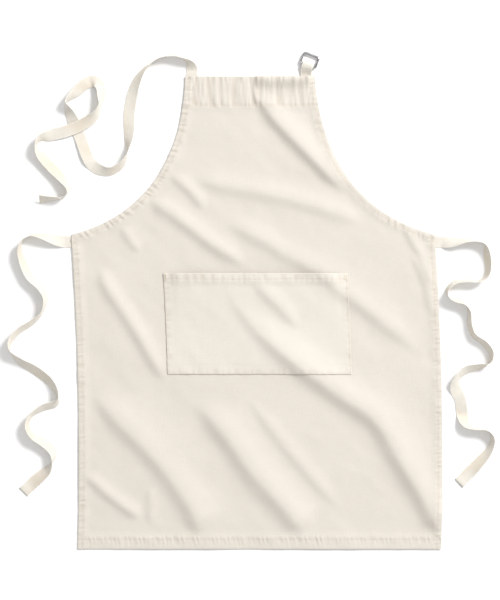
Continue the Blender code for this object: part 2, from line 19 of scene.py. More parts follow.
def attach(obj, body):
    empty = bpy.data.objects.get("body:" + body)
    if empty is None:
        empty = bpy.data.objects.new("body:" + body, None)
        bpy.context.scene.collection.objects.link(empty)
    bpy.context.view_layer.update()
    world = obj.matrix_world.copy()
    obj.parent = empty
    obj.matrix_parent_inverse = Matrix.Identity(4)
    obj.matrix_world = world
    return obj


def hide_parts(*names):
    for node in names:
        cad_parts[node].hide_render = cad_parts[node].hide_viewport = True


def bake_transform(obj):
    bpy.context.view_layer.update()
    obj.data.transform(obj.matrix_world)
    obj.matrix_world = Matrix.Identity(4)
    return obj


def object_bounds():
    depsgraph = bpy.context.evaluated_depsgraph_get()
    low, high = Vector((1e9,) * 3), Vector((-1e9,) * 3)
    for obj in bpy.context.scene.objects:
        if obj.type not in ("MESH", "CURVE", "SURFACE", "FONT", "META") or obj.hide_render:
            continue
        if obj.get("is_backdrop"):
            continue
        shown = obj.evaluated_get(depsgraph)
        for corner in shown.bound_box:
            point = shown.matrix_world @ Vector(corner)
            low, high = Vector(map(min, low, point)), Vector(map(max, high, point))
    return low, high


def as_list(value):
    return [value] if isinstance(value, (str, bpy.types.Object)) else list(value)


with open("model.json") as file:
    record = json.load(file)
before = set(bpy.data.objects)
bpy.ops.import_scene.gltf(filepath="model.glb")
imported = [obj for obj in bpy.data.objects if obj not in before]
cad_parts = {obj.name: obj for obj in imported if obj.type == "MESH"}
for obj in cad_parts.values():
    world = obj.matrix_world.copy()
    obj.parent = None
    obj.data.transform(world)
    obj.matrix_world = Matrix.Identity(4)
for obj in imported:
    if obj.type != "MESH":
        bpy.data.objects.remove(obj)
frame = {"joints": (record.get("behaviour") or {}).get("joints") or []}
CAD_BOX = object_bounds()

logging.basicConfig(level=logging.INFO, format="%(message)s")
log = logging.getLogger("apron")

Point = tuple[float, float]
Socket = bpy.types.NodeSocket
Route = tuple[tuple[float, float, float, float], ...]

TAPE_WIDTH = 0.022
TAPE_THICKNESS = 0.001
CANVAS = 0.0008            # one layer of canvas
HEM_THICKNESS = 0.0024     # a hem turned twice is three layers
CLEAR = 0.0002             # air between two pieces that lie on each other
SELVEDGE = 0.0015          # width of the painted highlight along a tape's edge
SEAM_STEP = 0.003          # between two points of a seam's line
FOLD_OVER = 0.0002         # half the width over which a folded edge ends
STITCH_SUNK = 0.25         # how high a stitch lies on the cloth, as a share of its thread


class Side(Enum):
    """The two sides of the apron, as seen from above with the bib up."""

    LEFT = -1
    RIGHT = 1

    @property
    def word(self) -> str:
        """The side's name in a node's name."""
        return self.name.lower()


# ---------------------------------------------------------------- curves and soft shapes


def smooth_step(value: np.ndarray, low: float, high: float) -> np.ndarray:
    """Rises smoothly from 0 at low to 1 at high.

    Args:
        value: The numbers to read the step at.
        low: Where the step starts.
        high: Where the step ends.

    Returns:
        Numbers from 0 to 1.
    """
    share = np.clip((value - low) / (high - low), 0.0, 1.0)
    return share * share * (3 - 2 * share)


def soft_noise(x: np.ndarray, y: np.ndarray, seed: int) -> np.ndarray:
    """Smooth noise in the plane, with bumps about one unit apart.

    Args:
        x: First coordinate.
        y: Second coordinate.
        seed: Picks the pattern.

    Returns:
        Numbers from -1 to 1.
    """
    table = np.random.default_rng(seed).uniform(-1, 1, (64, 64))
    column, row = np.floor(x).astype(int), np.floor(y).astype(int)
    right, up = x - column, y - row
    right = right * right * (3 - 2 * right)
    up = up * up * (3 - 2 * up)
    left_column, right_column = column % 64, (column + 1) % 64
    near = table[row % 64, left_column] * (1 - right) + table[row % 64, right_column] * right
    far = table[(row + 1) % 64, left_column] * (1 - right) + table[(row + 1) % 64, right_column] * right
    return near * (1 - up) + far * up


def smooth_path(points: tuple | list, step: float) -> np.ndarray:
    """Reads a smooth curve through points at an even step along its plan.

    Args:
        points: The points, each with x and y first.
        step: The distance between two places that are read.

    Returns:
        One row for each place.
    """
    pieces = 16
    padded = [points[0]] + list(points) + [points[-1]]
    dense = []
    for a, b, c, d in zip(padded, padded[1:], padded[2:], padded[3:]):
        for i in range(pieces):
            t = i / pieces
            dense.append([
                0.5 * (
                    2 * q + (r - p) * t + (2 * p - 5 * q + 4 * r - s) * t**2
                    + (3 * q - p - 3 * r + s) * t**3
                )
                for p, q, r, s in zip(a, b, c, d)
            ])
    dense.append(list(points[-1]))
    return even_path(np.array(dense, float), step)


def even_path(points: np.ndarray, step: float) -> np.ndarray:
    """Reads a line of straight pieces at an even step along its plan."""
    runs = np.hypot(*np.diff(points[:, :2], axis=0).T)
    length = np.concatenate([[0.0], np.cumsum(runs)])
    count = max(2, round(length[-1] / step))
    goals = np.linspace(0, length[-1], count + 1)
    return np.stack([np.interp(goals, length, column) for column in points.T], axis=1)


def along_path(path: np.ndarray, x: np.ndarray, y: np.ndarray) -> tuple[np.ndarray, np.ndarray]:
    """Measures points against a line of straight pieces.

    Args:
        path: The line's points.
        x: The points' first coordinates.
        y: The points' second coordinates.

    Returns:
        The distance from the line, positive on its left side, and the length run along it.
    """
    best = np.full(x.shape, 1e9)
    side, run = np.ones(x.shape), np.zeros(x.shape)
    start = 0.0
    for near, far in zip(path[:-1, :2], path[1:, :2]):
        reach = far - near
        length = float(np.hypot(*reach)) or 1e-9
        share = np.clip(((x - near[0]) * reach[0] + (y - near[1]) * reach[1]) / length**2, 0, 1)
        away_x, away_y = x - near[0] - share * reach[0], y - near[1] - share * reach[1]
        distance = np.hypot(away_x, away_y)
        closer = distance < best
        best[closer] = distance[closer]
        side[closer] = np.where(reach[0] * away_y - reach[1] * away_x >= 0, 1.0, -1.0)[closer]
        run[closer] = (start + share * length)[closer]
        start += length
    return best * side, run


# ---------------------------------------------------------------- meshes


def make_piece(
    name: str, places: np.ndarray, faces: list, finish: bpy.types.Material, smooth: bool = True
) -> bpy.types.Object:
    """Makes an object at the origin from points and faces.

    Args:
        name: The piece's name.
        places: The points, one row each.
        faces: The faces, as tuples of point numbers.
        finish: The material.
        smooth: Whether its faces are shaded smooth.

    Returns:
        The object, linked to the scene.
    """
    mesh = bpy.data.meshes.new(name)
    mesh.from_pydata([tuple(p) for p in places], [], faces)
    mesh.materials.append(finish)
    if smooth:
        mesh.shade_smooth()
    mesh.update()
    piece = bpy.data.objects.new(name, mesh)
    bpy.context.scene.collection.objects.link(piece)
    return piece


def face_outwards(piece: bpy.types.Object) -> None:
    """Turns every face of a closed piece outwards."""
    bm = bmesh.new()
    bm.from_mesh(piece.data)
    bmesh.ops.recalc_face_normals(bm, faces=bm.faces)
    bm.to_mesh(piece.data)
    bm.free()


def close_sheet(faces: list, count: int) -> list:
    """Adds an under layer and walls to the faces of an upper layer.

    Args:
        faces: The upper layer's faces, counterclockwise from above.
        count: How many points the upper layer has; the under layer's points follow them.

    Returns:
        The faces of the closed sheet.
    """
    edges = {}
    for face in faces:
        for near, far in zip(face, face[1:] + face[:1]):
            edges[(near, far)] = True
    under = [tuple(i + count for i in reversed(face)) for face in faces]
    walls = [(far, near, near + count, far + count) for near, far in edges if (far, near) not in edges]
    return list(faces) + under + walls


def make_sheet(
    name: str, laid: np.ndarray, shape: dict[str, np.ndarray], faces: list, finish: bpy.types.Material
) -> bpy.types.Object:
    """Makes a closed sheet with its two masks: a painted highlight along its edges and painted shade in its
    hollows.

    Args:
        name: The piece's name.
        laid: The points' places on the table.
        shape: Their upper surface, thickness and masks.
        faces: The upper layer's faces.
        finish: The material.

    Returns:
        The sheet.
    """
    upper = np.column_stack([laid, shape["top"]])
    under = upper.copy()
    under[:, 2] -= shape["thickness"]
    piece = make_piece(name, np.concatenate([upper, under]), close_sheet(faces, len(upper)), finish)
    for mask in ("edge", "sunk"):
        paint(piece, mask, np.concatenate([shape[mask], shape[mask]]))
    return piece


def length_run(points: np.ndarray) -> np.ndarray:
    """The length run along a line up to each of its points."""
    return np.concatenate([[0], np.cumsum(np.linalg.norm(np.diff(points, axis=0), axis=1))])


def left_of(ahead: np.ndarray) -> np.ndarray:
    """Unit vectors to the left of each direction in a plane."""
    ahead = ahead / np.hypot(*ahead.T)[:, None]
    return np.stack([-ahead[:, 1], ahead[:, 0]], axis=1)


def chart_tape(piece: bpy.types.Object, across: np.ndarray, run: np.ndarray) -> None:
    """Gives a swept tape its UV map, in metres, and its mask for the painted highlight along its edges.

    Args:
        piece: The tape.
        across: Sideways place of each point of the cross-section.
        run: Length run along the tape up to each cross-section.
    """
    half, size = TAPE_WIDTH / 2, len(across)
    chart = piece.data.uv_layers.new(name="tape")
    points = np.empty(len(piece.data.loops), int)
    piece.data.loops.foreach_get("vertex_index", points)
    places = np.stack([across[points % size] + half, run[points // size]], axis=1)
    chart.data.foreach_set("uv", places.ravel())
    # Painted highlight mask, strongest at the tape's two edges.
    rim = np.exp(-(((half - np.abs(across)) / SELVEDGE) ** 2))
    paint(piece, "edge", np.tile(rim, len(run)))


def sweep(sections: list, closed: bool = False) -> tuple[np.ndarray, list]:
    """Joins closed cross-sections with equal numbers of points.

    Args:
        sections: The cross-sections, in order.
        closed: Whether the last joins the first; otherwise both ends are filled.

    Returns:
        The points and the faces.
    """
    size = len(sections[0])
    count = len(sections)
    faces = []
    for k in range(count if closed else count - 1):
        here, there = k * size, (k + 1) % count * size
        for i in range(size):
            j = (i + 1) % size
            faces.append((here + i, here + j, there + j, there + i))
    if not closed:
        faces.append(tuple(reversed(range(size))))
        faces.append(tuple(range((count - 1) * size, count * size)))
    return np.concatenate([np.array(s, float) for s in sections]), faces


def paint(piece: bpy.types.Object, name: str, values: np.ndarray) -> None:
    """Stores one number for each point of a piece, for its material to read."""
    layer = piece.data.attributes.new(name, "FLOAT", "POINT")
    layer.data.foreach_set("value", np.asarray(values, np.float32))


# ---------------------------------------------------------------- shader tools


class NodeTree:
    """A node tree under construction."""

    def __init__(self, tree: bpy.types.NodeTree) -> None:
        """Starts from an existing tree."""
        self.tree = tree

    def add(self, kind: str, inputs: dict[str, object] | None = None, **settings: object) -> bpy.types.Node:
        """Adds a node, sets its properties and feeds its inputs by name."""
        node = self.tree.nodes.new(kind)
        for name, value in settings.items():
            setattr(node, name, value)
        for name, value in (inputs or {}).items():
            self.feed(node.inputs[name], value)
        return node

    def join(self, source: bpy.types.NodeSocket, target: bpy.types.NodeSocket) -> None:
        """Links two sockets."""
        self.tree.links.new(source, target)

    def feed(self, target: bpy.types.NodeSocket, value: object) -> None:
        """Links a socket, or sets it to a plain value."""
        if isinstance(value, bpy.types.NodeSocket):
            self.join(value, target)
        else:
            target.default_value = value

    def math(self, operation: str, first: object, second: object = 0.0) -> Socket:
        """Adds a Math node for one or two sockets or numbers, and gives its result."""
        node = self.add("ShaderNodeMath", operation=operation)
        for target, value in zip(node.inputs, (first, second)):
            self.feed(target, value)
        return node.outputs[0]

    def times(self, first: object, second: object) -> Socket:
        """The product of two sockets or numbers."""
        return self.math("MULTIPLY", first, second)

    def plus(self, first: object, second: object) -> Socket:
        """The sum of two sockets or numbers."""
        return self.math("ADD", first, second)

    def minus(self, first: object, second: object) -> Socket:
        """The first socket or number less the second."""
        return self.math("SUBTRACT", first, second)

    def spread(
        self, value: object, low: float, high: float, to_low: float = 0.0, to_high: float = 1.0
    ) -> Socket:
        """Maps a range of a value onto another range, smoothly and within its ends."""
        ends = {"Value": value, "From Min": low, "From Max": high, "To Min": to_low, "To Max": to_high}
        node = self.add("ShaderNodeMapRange", ends, interpolation_type="SMOOTHSTEP")
        return node.outputs["Result"]

    def mix(self, share: object, first: object, second: object) -> Socket:
        """Mixes two colours by a share."""
        given = {"Factor": share, "A": first, "B": second}
        return self.add("ShaderNodeMix", given, data_type="RGBA").outputs["Result"]

    def noise(self, place: object, scale: object, detail: float = 3.0, rough: float = 0.5) -> Socket:
        """Adds a Noise texture and gives its value."""
        given = {"Vector": place, "Scale": scale, "Detail": detail, "Roughness": rough}
        return self.add("ShaderNodeTexNoise", given, noise_dimensions="3D").outputs["Fac"]

    def stretched(self, place: object, stretch: tuple[float, float, float]) -> Socket:
        """Scales a coordinate by a plain amount along each axis."""
        return self.add("ShaderNodeMapping", {"Vector": place, "Scale": stretch}).outputs["Vector"]

    def painted(self, name: str) -> Socket:
        """Reads the numbers that were painted on a piece."""
        return self.add("ShaderNodeAttribute", attribute_name=name).outputs["Fac"]

    def emboss(self, shader: bpy.types.Node, height: Socket, distance: float, strength: float = 1.0) -> None:
        """Gives a shader a bumpy surface."""
        given = {"Height": height, "Distance": distance, "Strength": strength}
        self.join(self.add("ShaderNodeBump", given).outputs["Normal"], shader.inputs["Normal"])


def new_group(name: str, takes: dict[str, str], gives: dict[str, str]) -> tuple[NodeTree, dict, dict]:
    """Starts a shader node group.

    Args:
        name: The group's name.
        takes: The inputs' names and socket kinds.
        gives: The outputs' names and socket kinds.

    Returns:
        The tree, its input sockets by name, and its output sockets by name.
    """
    group = bpy.data.node_groups.new(name, "ShaderNodeTree")
    for label, kind in takes.items():
        group.interface.new_socket(label, in_out="INPUT", socket_type=f"NodeSocket{kind}")
    for label, kind in gives.items():
        group.interface.new_socket(label, in_out="OUTPUT", socket_type=f"NodeSocket{kind}")
    tree = NodeTree(group)
    start, end = tree.add("NodeGroupInput"), tree.add("NodeGroupOutput")
    return tree, {n: start.outputs[n] for n in takes}, {n: end.inputs[n] for n in gives}


class Effects:
    """Shader node groups that more than one finish uses."""

    def __init__(self) -> None:
        """Builds every group once."""
        self.weave = self.build_weave()
        self.slubs = self.build_slubs()
        self.rub = self.build_highlight_and_wear()

    def build_weave(self) -> bpy.types.NodeTree:
        """A plain weave: warp and weft pass over each other in turn; it also gives a mask of painted shade
        between the threads.
        """
        takes = {"Place": "Vector", "Threads": "Float", "Wander": "Float"}
        tree, given, out = new_group("plain_weave", takes, {"Height": "Float", "Gap": "Float"})
        drift = tree.noise(given["Place"], 90.0, 2.0)
        drift = tree.times(tree.minus(drift, 0.5), given["Wander"])
        parts = tree.add("ShaderNodeSeparateXYZ")
        tree.join(given["Place"], parts.inputs[0])
        turn = tree.times(given["Threads"], math.pi)
        across = tree.plus(tree.times(parts.outputs["X"], turn), drift)
        along = tree.plus(tree.times(parts.outputs["Y"], turn), drift)
        warp = tree.math("ABSOLUTE", tree.math("SINE", across))
        weft = tree.math("ABSOLUTE", tree.math("SINE", along))
        over = tree.times(tree.math("COSINE", across), tree.math("COSINE", along))
        over = tree.spread(over, -0.25, 0.25)
        under = tree.minus(1.0, over)
        high = tree.plus(tree.times(warp, over), tree.times(weft, under))
        tree.join(high, out["Height"])
        # Painted shade: the mask is strongest where the threads dip.
        tree.join(tree.spread(high, 0.0, 0.45, 1.0, 0.0), out["Gap"])
        return tree.tree

    def build_slubs(self) -> bpy.types.NodeTree:
        """Uneven spun threads: faint streaks along both directions and soft patches."""
        takes = {"Place": "Vector", "Streaks": "Float", "Patches": "Float"}
        tree, given, out = new_group("uneven_yarn", takes, {"Tone": "Float", "Height": "Float"})
        long_way = tree.noise(tree.stretched(given["Place"], (11.0, 0.8, 1.0)), 90.0, 2.0)
        cross_way = tree.noise(tree.stretched(given["Place"], (0.8, 11.0, 1.0)), 90.0, 2.0)
        both_ways = tree.plus(long_way, cross_way)
        streaks = tree.times(tree.minus(both_ways, 1.0), given["Streaks"])
        patches = tree.times(tree.minus(tree.noise(given["Place"], 14.0, 4.0), 0.5), given["Patches"])
        tree.join(tree.plus(tree.plus(streaks, patches), 0.5), out["Tone"])
        tree.join(tree.times(both_ways, 0.5), out["Height"])
        return tree.tree

    def build_highlight_and_wear(self) -> bpy.types.NodeTree:
        """Painted highlight along edges, and wear: breaks a painted edge mask into uneven touches. Cloth and
        tape mix a brighter colour in by it, which is painted highlight; the wire varies its roughness by it.
        """
        takes = {"Mask": "Float", "Place": "Vector", "Grain": "Float"}
        tree, given, out = new_group("edge_highlight_and_wear", takes, {"Worn": "Float"})
        broken = tree.spread(tree.noise(given["Place"], given["Grain"]), 0.38, 0.62)
        tree.join(tree.times(given["Mask"], broken), out["Worn"])
        return tree.tree


def place_group(tree: NodeTree, group: bpy.types.NodeTree, **values: object) -> bpy.types.Node:
    """Puts a group into a material and feeds its inputs by name."""
    node = tree.add("ShaderNodeGroup", node_tree=group)
    for name, value in values.items():
        tree.feed(node.inputs[name], value)
    return node


def new_material(name: str) -> tuple[bpy.types.Material, NodeTree, bpy.types.Node]:
    """Starts a material with a Principled shader and gives the material, its tree and the shader."""
    made = bpy.data.materials.new(name)
    made.use_nodes = True
    return made, NodeTree(made.node_tree), made.node_tree.nodes["Principled BSDF"]


def set_plain(shader: bpy.types.Node, values: dict[str, float]) -> None:
    """Sets a shader's inputs to plain numbers."""
    for name, value in values.items():
        shader.inputs[name].default_value = value


def colour(red: float, green: float, blue: float) -> tuple[float, float, float, float]:
    """A colour given as 0 to 255 screen values, as the linear values that a shader takes."""
    linear = [((c / 255 + 0.055) / 1.055) ** 2.4 if c > 10 else c / 3295 for c in (red, green, blue)]
    return (*linear, 1.0)


@dataclass(frozen=True)
class CanvasFinish:
    """Unbleached cotton canvas, washed once."""

    effects: Effects
    name: str = "natural_canvas"
    light: tuple = colour(226, 219, 209)
    dark: tuple = colour(218, 211, 200)
    # groove is the colour of painted shade: between the weave's threads, in the seams' grooves and in the
    # puckers' hollows.
    groove: tuple = colour(196, 184, 167)
    # Colour of the painted highlight along the cut's edges.
    edge_highlight: tuple = colour(231, 225, 215)
    threads: float = 1100.0      # a metre
    bump: float = 0.00022

    def make(self) -> bpy.types.Material:
        """Builds the material."""
        made, tree, shader = new_material(self.name)
        place = tree.add("ShaderNodeTexCoord").outputs["Object"]
        weave = place_group(tree, self.effects.weave, Place=place, Threads=self.threads, Wander=1.3)
        yarn = place_group(tree, self.effects.slubs, Place=place, Streaks=0.5, Patches=0.3)
        edge = tree.painted("edge")
        sunk = tree.painted("sunk")
        rub = place_group(tree, self.effects.rub, Mask=edge, Place=place, Grain=330.0)
        shade = tree.mix(tree.spread(yarn.outputs["Tone"], 0.1, 0.9), self.dark, self.light)
        # Painted shade: darker between the weave's threads.
        shade = tree.mix(tree.times(weave.outputs["Gap"], 0.30), shade, self.groove)
        # Painted shade in the seams' grooves and the puckers' hollows.
        shade = tree.mix(tree.times(sunk, 0.30), shade, self.groove)
        # Painted highlight along the cut's edges.
        shade = tree.mix(tree.times(rub.outputs["Worn"], 0.6), shade, self.edge_highlight)
        tree.join(shade, shader.inputs["Base Color"])
        tree.join(tree.spread(yarn.outputs["Tone"], 0.0, 1.0, 0.96, 0.84), shader.inputs["Roughness"])
        height = tree.plus(weave.outputs["Height"], tree.times(yarn.outputs["Height"], 1.2))
        tree.emboss(shader, height, self.bump, 0.8)
        set_plain(shader, {"Sheen Weight": 0.15, "Sheen Roughness": 0.6, "Specular IOR Level": 0.25})
        return made


@dataclass(frozen=True)
class TapeFinish:
    """Ribbed cotton twill tape, ivory; its pattern follows the tape's own UV map, in metres."""

    effects: Effects
    name: str = "ivory_tape"
    light: tuple = colour(243, 239, 231)
    dark: tuple = colour(234, 228, 216)
    # groove is the colour of painted shade between the ribs and between the twill's threads.
    groove: tuple = colour(206, 195, 177)
    aged: tuple = colour(226, 212, 192)
    # Colour of the painted highlight along the tape's edges.
    selvedge_highlight: tuple = colour(248, 246, 240)
    ribs: float = 8.0
    twill: float = 0.0011        # from one diagonal thread to the next
    bump: float = 0.00035

    def make(self) -> bpy.types.Material:
        """Builds the material."""
        made, tree, shader = new_material(self.name)
        place = tree.add("ShaderNodeUVMap", uv_map="tape").outputs["UV"]
        parts = tree.add("ShaderNodeSeparateXYZ")
        tree.join(place, parts.inputs[0])
        rib = tree.math("PINGPONG", parts.outputs["X"], TAPE_WIDTH / self.ribs / 2)
        rib = tree.math("DIVIDE", rib, TAPE_WIDTH / self.ribs / 2)
        slope = tree.plus(parts.outputs["Y"], tree.times(rib, self.twill * 1.2))
        thread = tree.math("SINE", tree.times(slope, 2 * math.pi / self.twill))
        thread = tree.times(tree.plus(thread, 1.0), 0.5)
        crest = tree.math("SINE", tree.times(rib, math.pi))
        crest = tree.math("POWER", tree.math("MAXIMUM", crest, 0.0), 0.6)
        yarn = place_group(tree, self.effects.slubs, Place=place, Streaks=0.8, Patches=0.5)
        edge = tree.painted("edge")
        rub = place_group(tree, self.effects.rub, Mask=edge, Place=place, Grain=260.0)
        shade = tree.mix(tree.spread(yarn.outputs["Tone"], 0.1, 0.9), self.dark, self.light)
        # Painted shade between the ribs and between the twill's diagonal threads.
        rib_shade = tree.minus(1.0, crest)
        shade = tree.mix(tree.times(rib_shade, 0.55), shade, self.groove)
        shade = tree.mix(tree.times(tree.minus(1.0, thread), 0.10), shade, self.groove)
        stain = tree.spread(tree.noise(place, 11.0, 2.0), 0.45, 0.66, 0.0, 0.55)
        shade = tree.mix(stain, shade, self.aged)
        # Painted highlight along the tape's edges.
        shade = tree.mix(tree.times(rub.outputs["Worn"], 0.8), shade, self.selvedge_highlight)
        tree.join(shade, shader.inputs["Base Color"])
        tree.join(tree.spread(yarn.outputs["Tone"], 0.0, 1.0, 0.92, 0.78), shader.inputs["Roughness"])
        height = tree.plus(crest, tree.times(thread, 0.35))
        tree.emboss(shader, height, self.bump, 0.9)
        set_plain(shader, {"Sheen Weight": 0.2, "Sheen Roughness": 0.5, "Specular IOR Level": 0.3})
        return made


@dataclass(frozen=True)
class ThreadFinish:
    """Cotton sewing thread, a little glossier than the cloth."""

    effects: Effects
    name: str = "cotton_thread"
    light: tuple = colour(243, 236, 222)
    dark: tuple = colour(222, 211, 192)
    bump: float = 0.0001

    def make(self) -> bpy.types.Material:
        """Builds the material."""
        made, tree, shader = new_material(self.name)
        place = tree.add("ShaderNodeTexCoord").outputs["Object"]
        yarn = place_group(tree, self.effects.slubs, Place=place, Streaks=1.2, Patches=0.6)
        twist = tree.noise(place, 2400.0, 1.0)
        tone = tree.spread(yarn.outputs["Tone"], 0.2, 0.8)
        tree.join(tree.mix(tone, self.dark, self.light), shader.inputs["Base Color"])
        tree.join(tree.spread(twist, 0.3, 0.7, 0.75, 0.6), shader.inputs["Roughness"])
        tree.emboss(shader, twist, self.bump)
        return made


@dataclass(frozen=True)
class NickelFinish:
    """Nickel-plated steel wire, drawn and lightly scratched."""

    effects: Effects
    name: str = "nickel_wire"
    bright: tuple = colour(188, 188, 190)
    dull: tuple = colour(142, 141, 141)
    bump: float = 0.00006

    def make(self) -> bpy.types.Material:
        """Builds the material."""
        made, tree, shader = new_material(self.name)
        place = tree.add("ShaderNodeTexCoord").outputs["Object"]
        drawn = tree.noise(tree.stretched(place, (1.0, 5.0, 1.0)), 900.0, 3.0, 0.6)
        spots = tree.noise(place, 160.0, 2.0)
        rub = place_group(tree, self.effects.rub, Mask=1.0, Place=place, Grain=520.0)
        tone = tree.times(tree.plus(drawn, spots), 0.5)
        tone = tree.spread(tone, 0.35, 0.65)
        tree.join(tree.mix(tone, self.dull, self.bright), shader.inputs["Base Color"])
        tree.join(tree.spread(rub.outputs["Worn"], 0.0, 1.0, 0.34, 0.20), shader.inputs["Roughness"])
        tree.emboss(shader, drawn, self.bump, 0.5)
        set_plain(shader, {"Metallic": 1.0})
        return made


@dataclass(frozen=True)
class TableFinish:
    """A plain white table top."""

    name: str = "white_table"

    def make(self) -> bpy.types.Material:
        """Builds the material."""
        made, tree, shader = new_material(self.name)
        place = tree.add("ShaderNodeTexCoord").outputs["Object"]
        tone = tree.noise(place, 6.0, 2.0)
        tree.join(tree.mix(tone, colour(252, 252, 252), colour(250, 250, 250)), shader.inputs["Base Color"])
        set_plain(shader, {"Roughness": 0.9, "Specular IOR Level": 0.0})
        return made


@dataclass
class Finishes:
    """Every material of the apron."""

    effects: Effects = field(default_factory=Effects)

    def __post_init__(self) -> None:
        """Builds the materials."""
        self.canvas = CanvasFinish(self.effects).make()
        # Painted light: the pocket's canvas is a brighter copy of the body's canvas, for the light that the
        # pocket catches.
        lit_tones = {"light": colour(230, 224, 214), "dark": colour(223, 216, 205)}
        self.pocket = CanvasFinish(self.effects, name="pocket_canvas", **lit_tones).make()
        self.tape = TapeFinish(self.effects).make()
        self.thread = ThreadFinish(self.effects).make()
        self.nickel = NickelFinish(self.effects).make()


# ---------------------------------------------------------------- stitches


@dataclass
class Stitcher:
    """Lays separate stitches along a line with Geometry Nodes."""

    finish: bpy.types.Material
    pitch: float = 0.0031
    length: float = 0.0025
    thread: float = 0.00062
    seed: int = 7

    def __post_init__(self) -> None:
        """Builds the tree once."""
        self.tree = self.build_tree()

    def build_tree(self) -> bpy.types.NodeTree:
        """Builds the tree: the line is read at the pitch and each place gets one stitch."""
        group = bpy.data.node_groups.new("stitches_on_line", "GeometryNodeTree")
        face = group.interface
        face.new_socket("Line", in_out="INPUT", socket_type="NodeSocketGeometry")
        for label in ("Pitch", "Stitch length", "Thread width"):
            face.new_socket(label, in_out="INPUT", socket_type="NodeSocketFloat")
        face.new_socket("Seed", in_out="INPUT", socket_type="NodeSocketInt")
        face.new_socket("Finish", in_out="INPUT", socket_type="NodeSocketMaterial")
        face.new_socket("Stitches", in_out="OUTPUT", socket_type="NodeSocketGeometry")
        tree = NodeTree(group)
        start, end = tree.add("NodeGroupInput"), tree.add("NodeGroupOutput")

        given = start.outputs
        line = tree.add("GeometryNodeMeshToCurve", {"Mesh": given["Line"]})
        read = {"Curve": line.outputs["Curve"], "Length": given["Pitch"]}
        places = tree.add("GeometryNodeCurveToPoints", read, mode="LENGTH")
        bead = tree.add("GeometryNodeMeshUVSphere", {"Segments": 6, "Rings": 5, "Radius": 0.5})
        wide = given["Thread width"]
        sizes = tree.add("ShaderNodeCombineXYZ", {"X": given["Stitch length"], "Y": wide, "Z": wide})
        shaped = {"Geometry": bead.outputs["Mesh"], "Scale": sizes.outputs["Vector"]}
        stitch = tree.add("GeometryNodeTransform", shaped)
        turn = tree.add("FunctionNodeAlignRotationToVector", {"Vector": places.outputs["Tangent"]}, axis="X")
        uneven = {"Min": (0.88, 0.85, 0.85), "Max": (1.06, 1.12, 1.12), "Seed": given["Seed"]}
        wobble = tree.add("FunctionNodeRandomValue", uneven, data_type="FLOAT_VECTOR")
        spots = {
            "Points": places.outputs["Points"],
            "Instance": stitch.outputs["Geometry"],
            "Rotation": turn.outputs["Rotation"],
            "Scale": wobble.outputs["Value"],
        }
        copies = tree.add("GeometryNodeInstanceOnPoints", spots)
        real = tree.add("GeometryNodeRealizeInstances", {"Geometry": copies.outputs["Instances"]})
        finished = {"Geometry": real.outputs["Geometry"], "Material": given["Finish"]}
        dress = tree.add("GeometryNodeSetMaterial", finished)
        tree.join(dress.outputs["Geometry"], end.inputs["Stitches"])
        return group

    def sew(self, name: str, lines: list[np.ndarray], body: str, node: str | None = None) -> bpy.types.Object:
        """Sews along lines and gives the finished piece.

        Args:
            name: The piece's name.
            lines: The lines, as rows of x, y and z.
            body: The body that the stitches move with.
            node: The CAD node that the stitches stand for.

        Returns:
            The piece, as one plain mesh.
        """
        mesh = bpy.data.meshes.new(f"{name}_line")
        places, edges = [], []
        for line in lines:
            first = len(places)
            places += [tuple(p) for p in line]
            edges += [(i, i + 1) for i in range(first, len(places) - 1)]
        mesh.from_pydata(places, edges, [])
        piece = bpy.data.objects.new(name, mesh)
        bpy.context.scene.collection.objects.link(piece)
        modifier = piece.modifiers.new("stitches", "NODES")
        modifier.node_group = self.tree
        values = {
            "Pitch": self.pitch,
            "Stitch length": self.length,
            "Thread width": self.thread,
            "Seed": self.seed,
            "Finish": self.finish,
        }
        for item in self.tree.interface.items_tree:
            if item.in_out == "INPUT" and item.name in values:
                modifier[item.identifier] = values[item.name]
        graph = bpy.context.evaluated_depsgraph_get()
        solid = bpy.data.meshes.new_from_object(piece.evaluated_get(graph))
        piece.modifiers.remove(modifier)
        piece.data = solid
        solid.name = name
        solid.shade_smooth()
        if not solid.materials:
            solid.materials.append(self.finish)
        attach(piece, body)
        if node:
            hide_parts(node)
        log.info("%s: %d stitches' faces", name, len(solid.polygons))
        return piece


# ---------------------------------------------------------------- how the cloth lies


@dataclass(frozen=True)
class Fold:
    """A soft ridge of the cloth: a steep flank on one side of its line and a long one on the other.

    The line is where the steep flank is darkest, and the ridge's crest lies on the line's left.
    """

    line: tuple[Point, ...]
    height: float
    steep: float = 0.007
    gentle: float = 0.020
    rise: float = 0.28         # share of the line over which the ridge grows at its start
    fall: float = 0.28         # share over which it dies away at its end

    def lift(self, x: np.ndarray, y: np.ndarray) -> np.ndarray:
        """Height of the ridge over each point."""
        path = smooth_path(self.line, 0.006)
        reach = 3 * max(self.steep, self.gentle)
        low, high = path.min(axis=0) - reach, path.max(axis=0) + reach
        near = (x > low[0]) & (x < high[0]) & (y > low[1]) & (y < high[1])
        raised = np.zeros(x.shape)
        if not near.any():
            return raised
        away, run = along_path(path, x[near], y[near])
        total = float(np.hypot(*np.diff(path, axis=0).T).sum())
        away = away - 0.7 * self.steep
        width = np.where(away > 0, self.gentle, self.steep)
        fade = smooth_step(run, 0, self.rise * total) * smooth_step(total - run, 0, self.fall * total)
        width = width * (0.55 + 0.45 * fade)
        raised[near] = self.height * fade * np.exp(-((away / width) ** 2))
        return raised


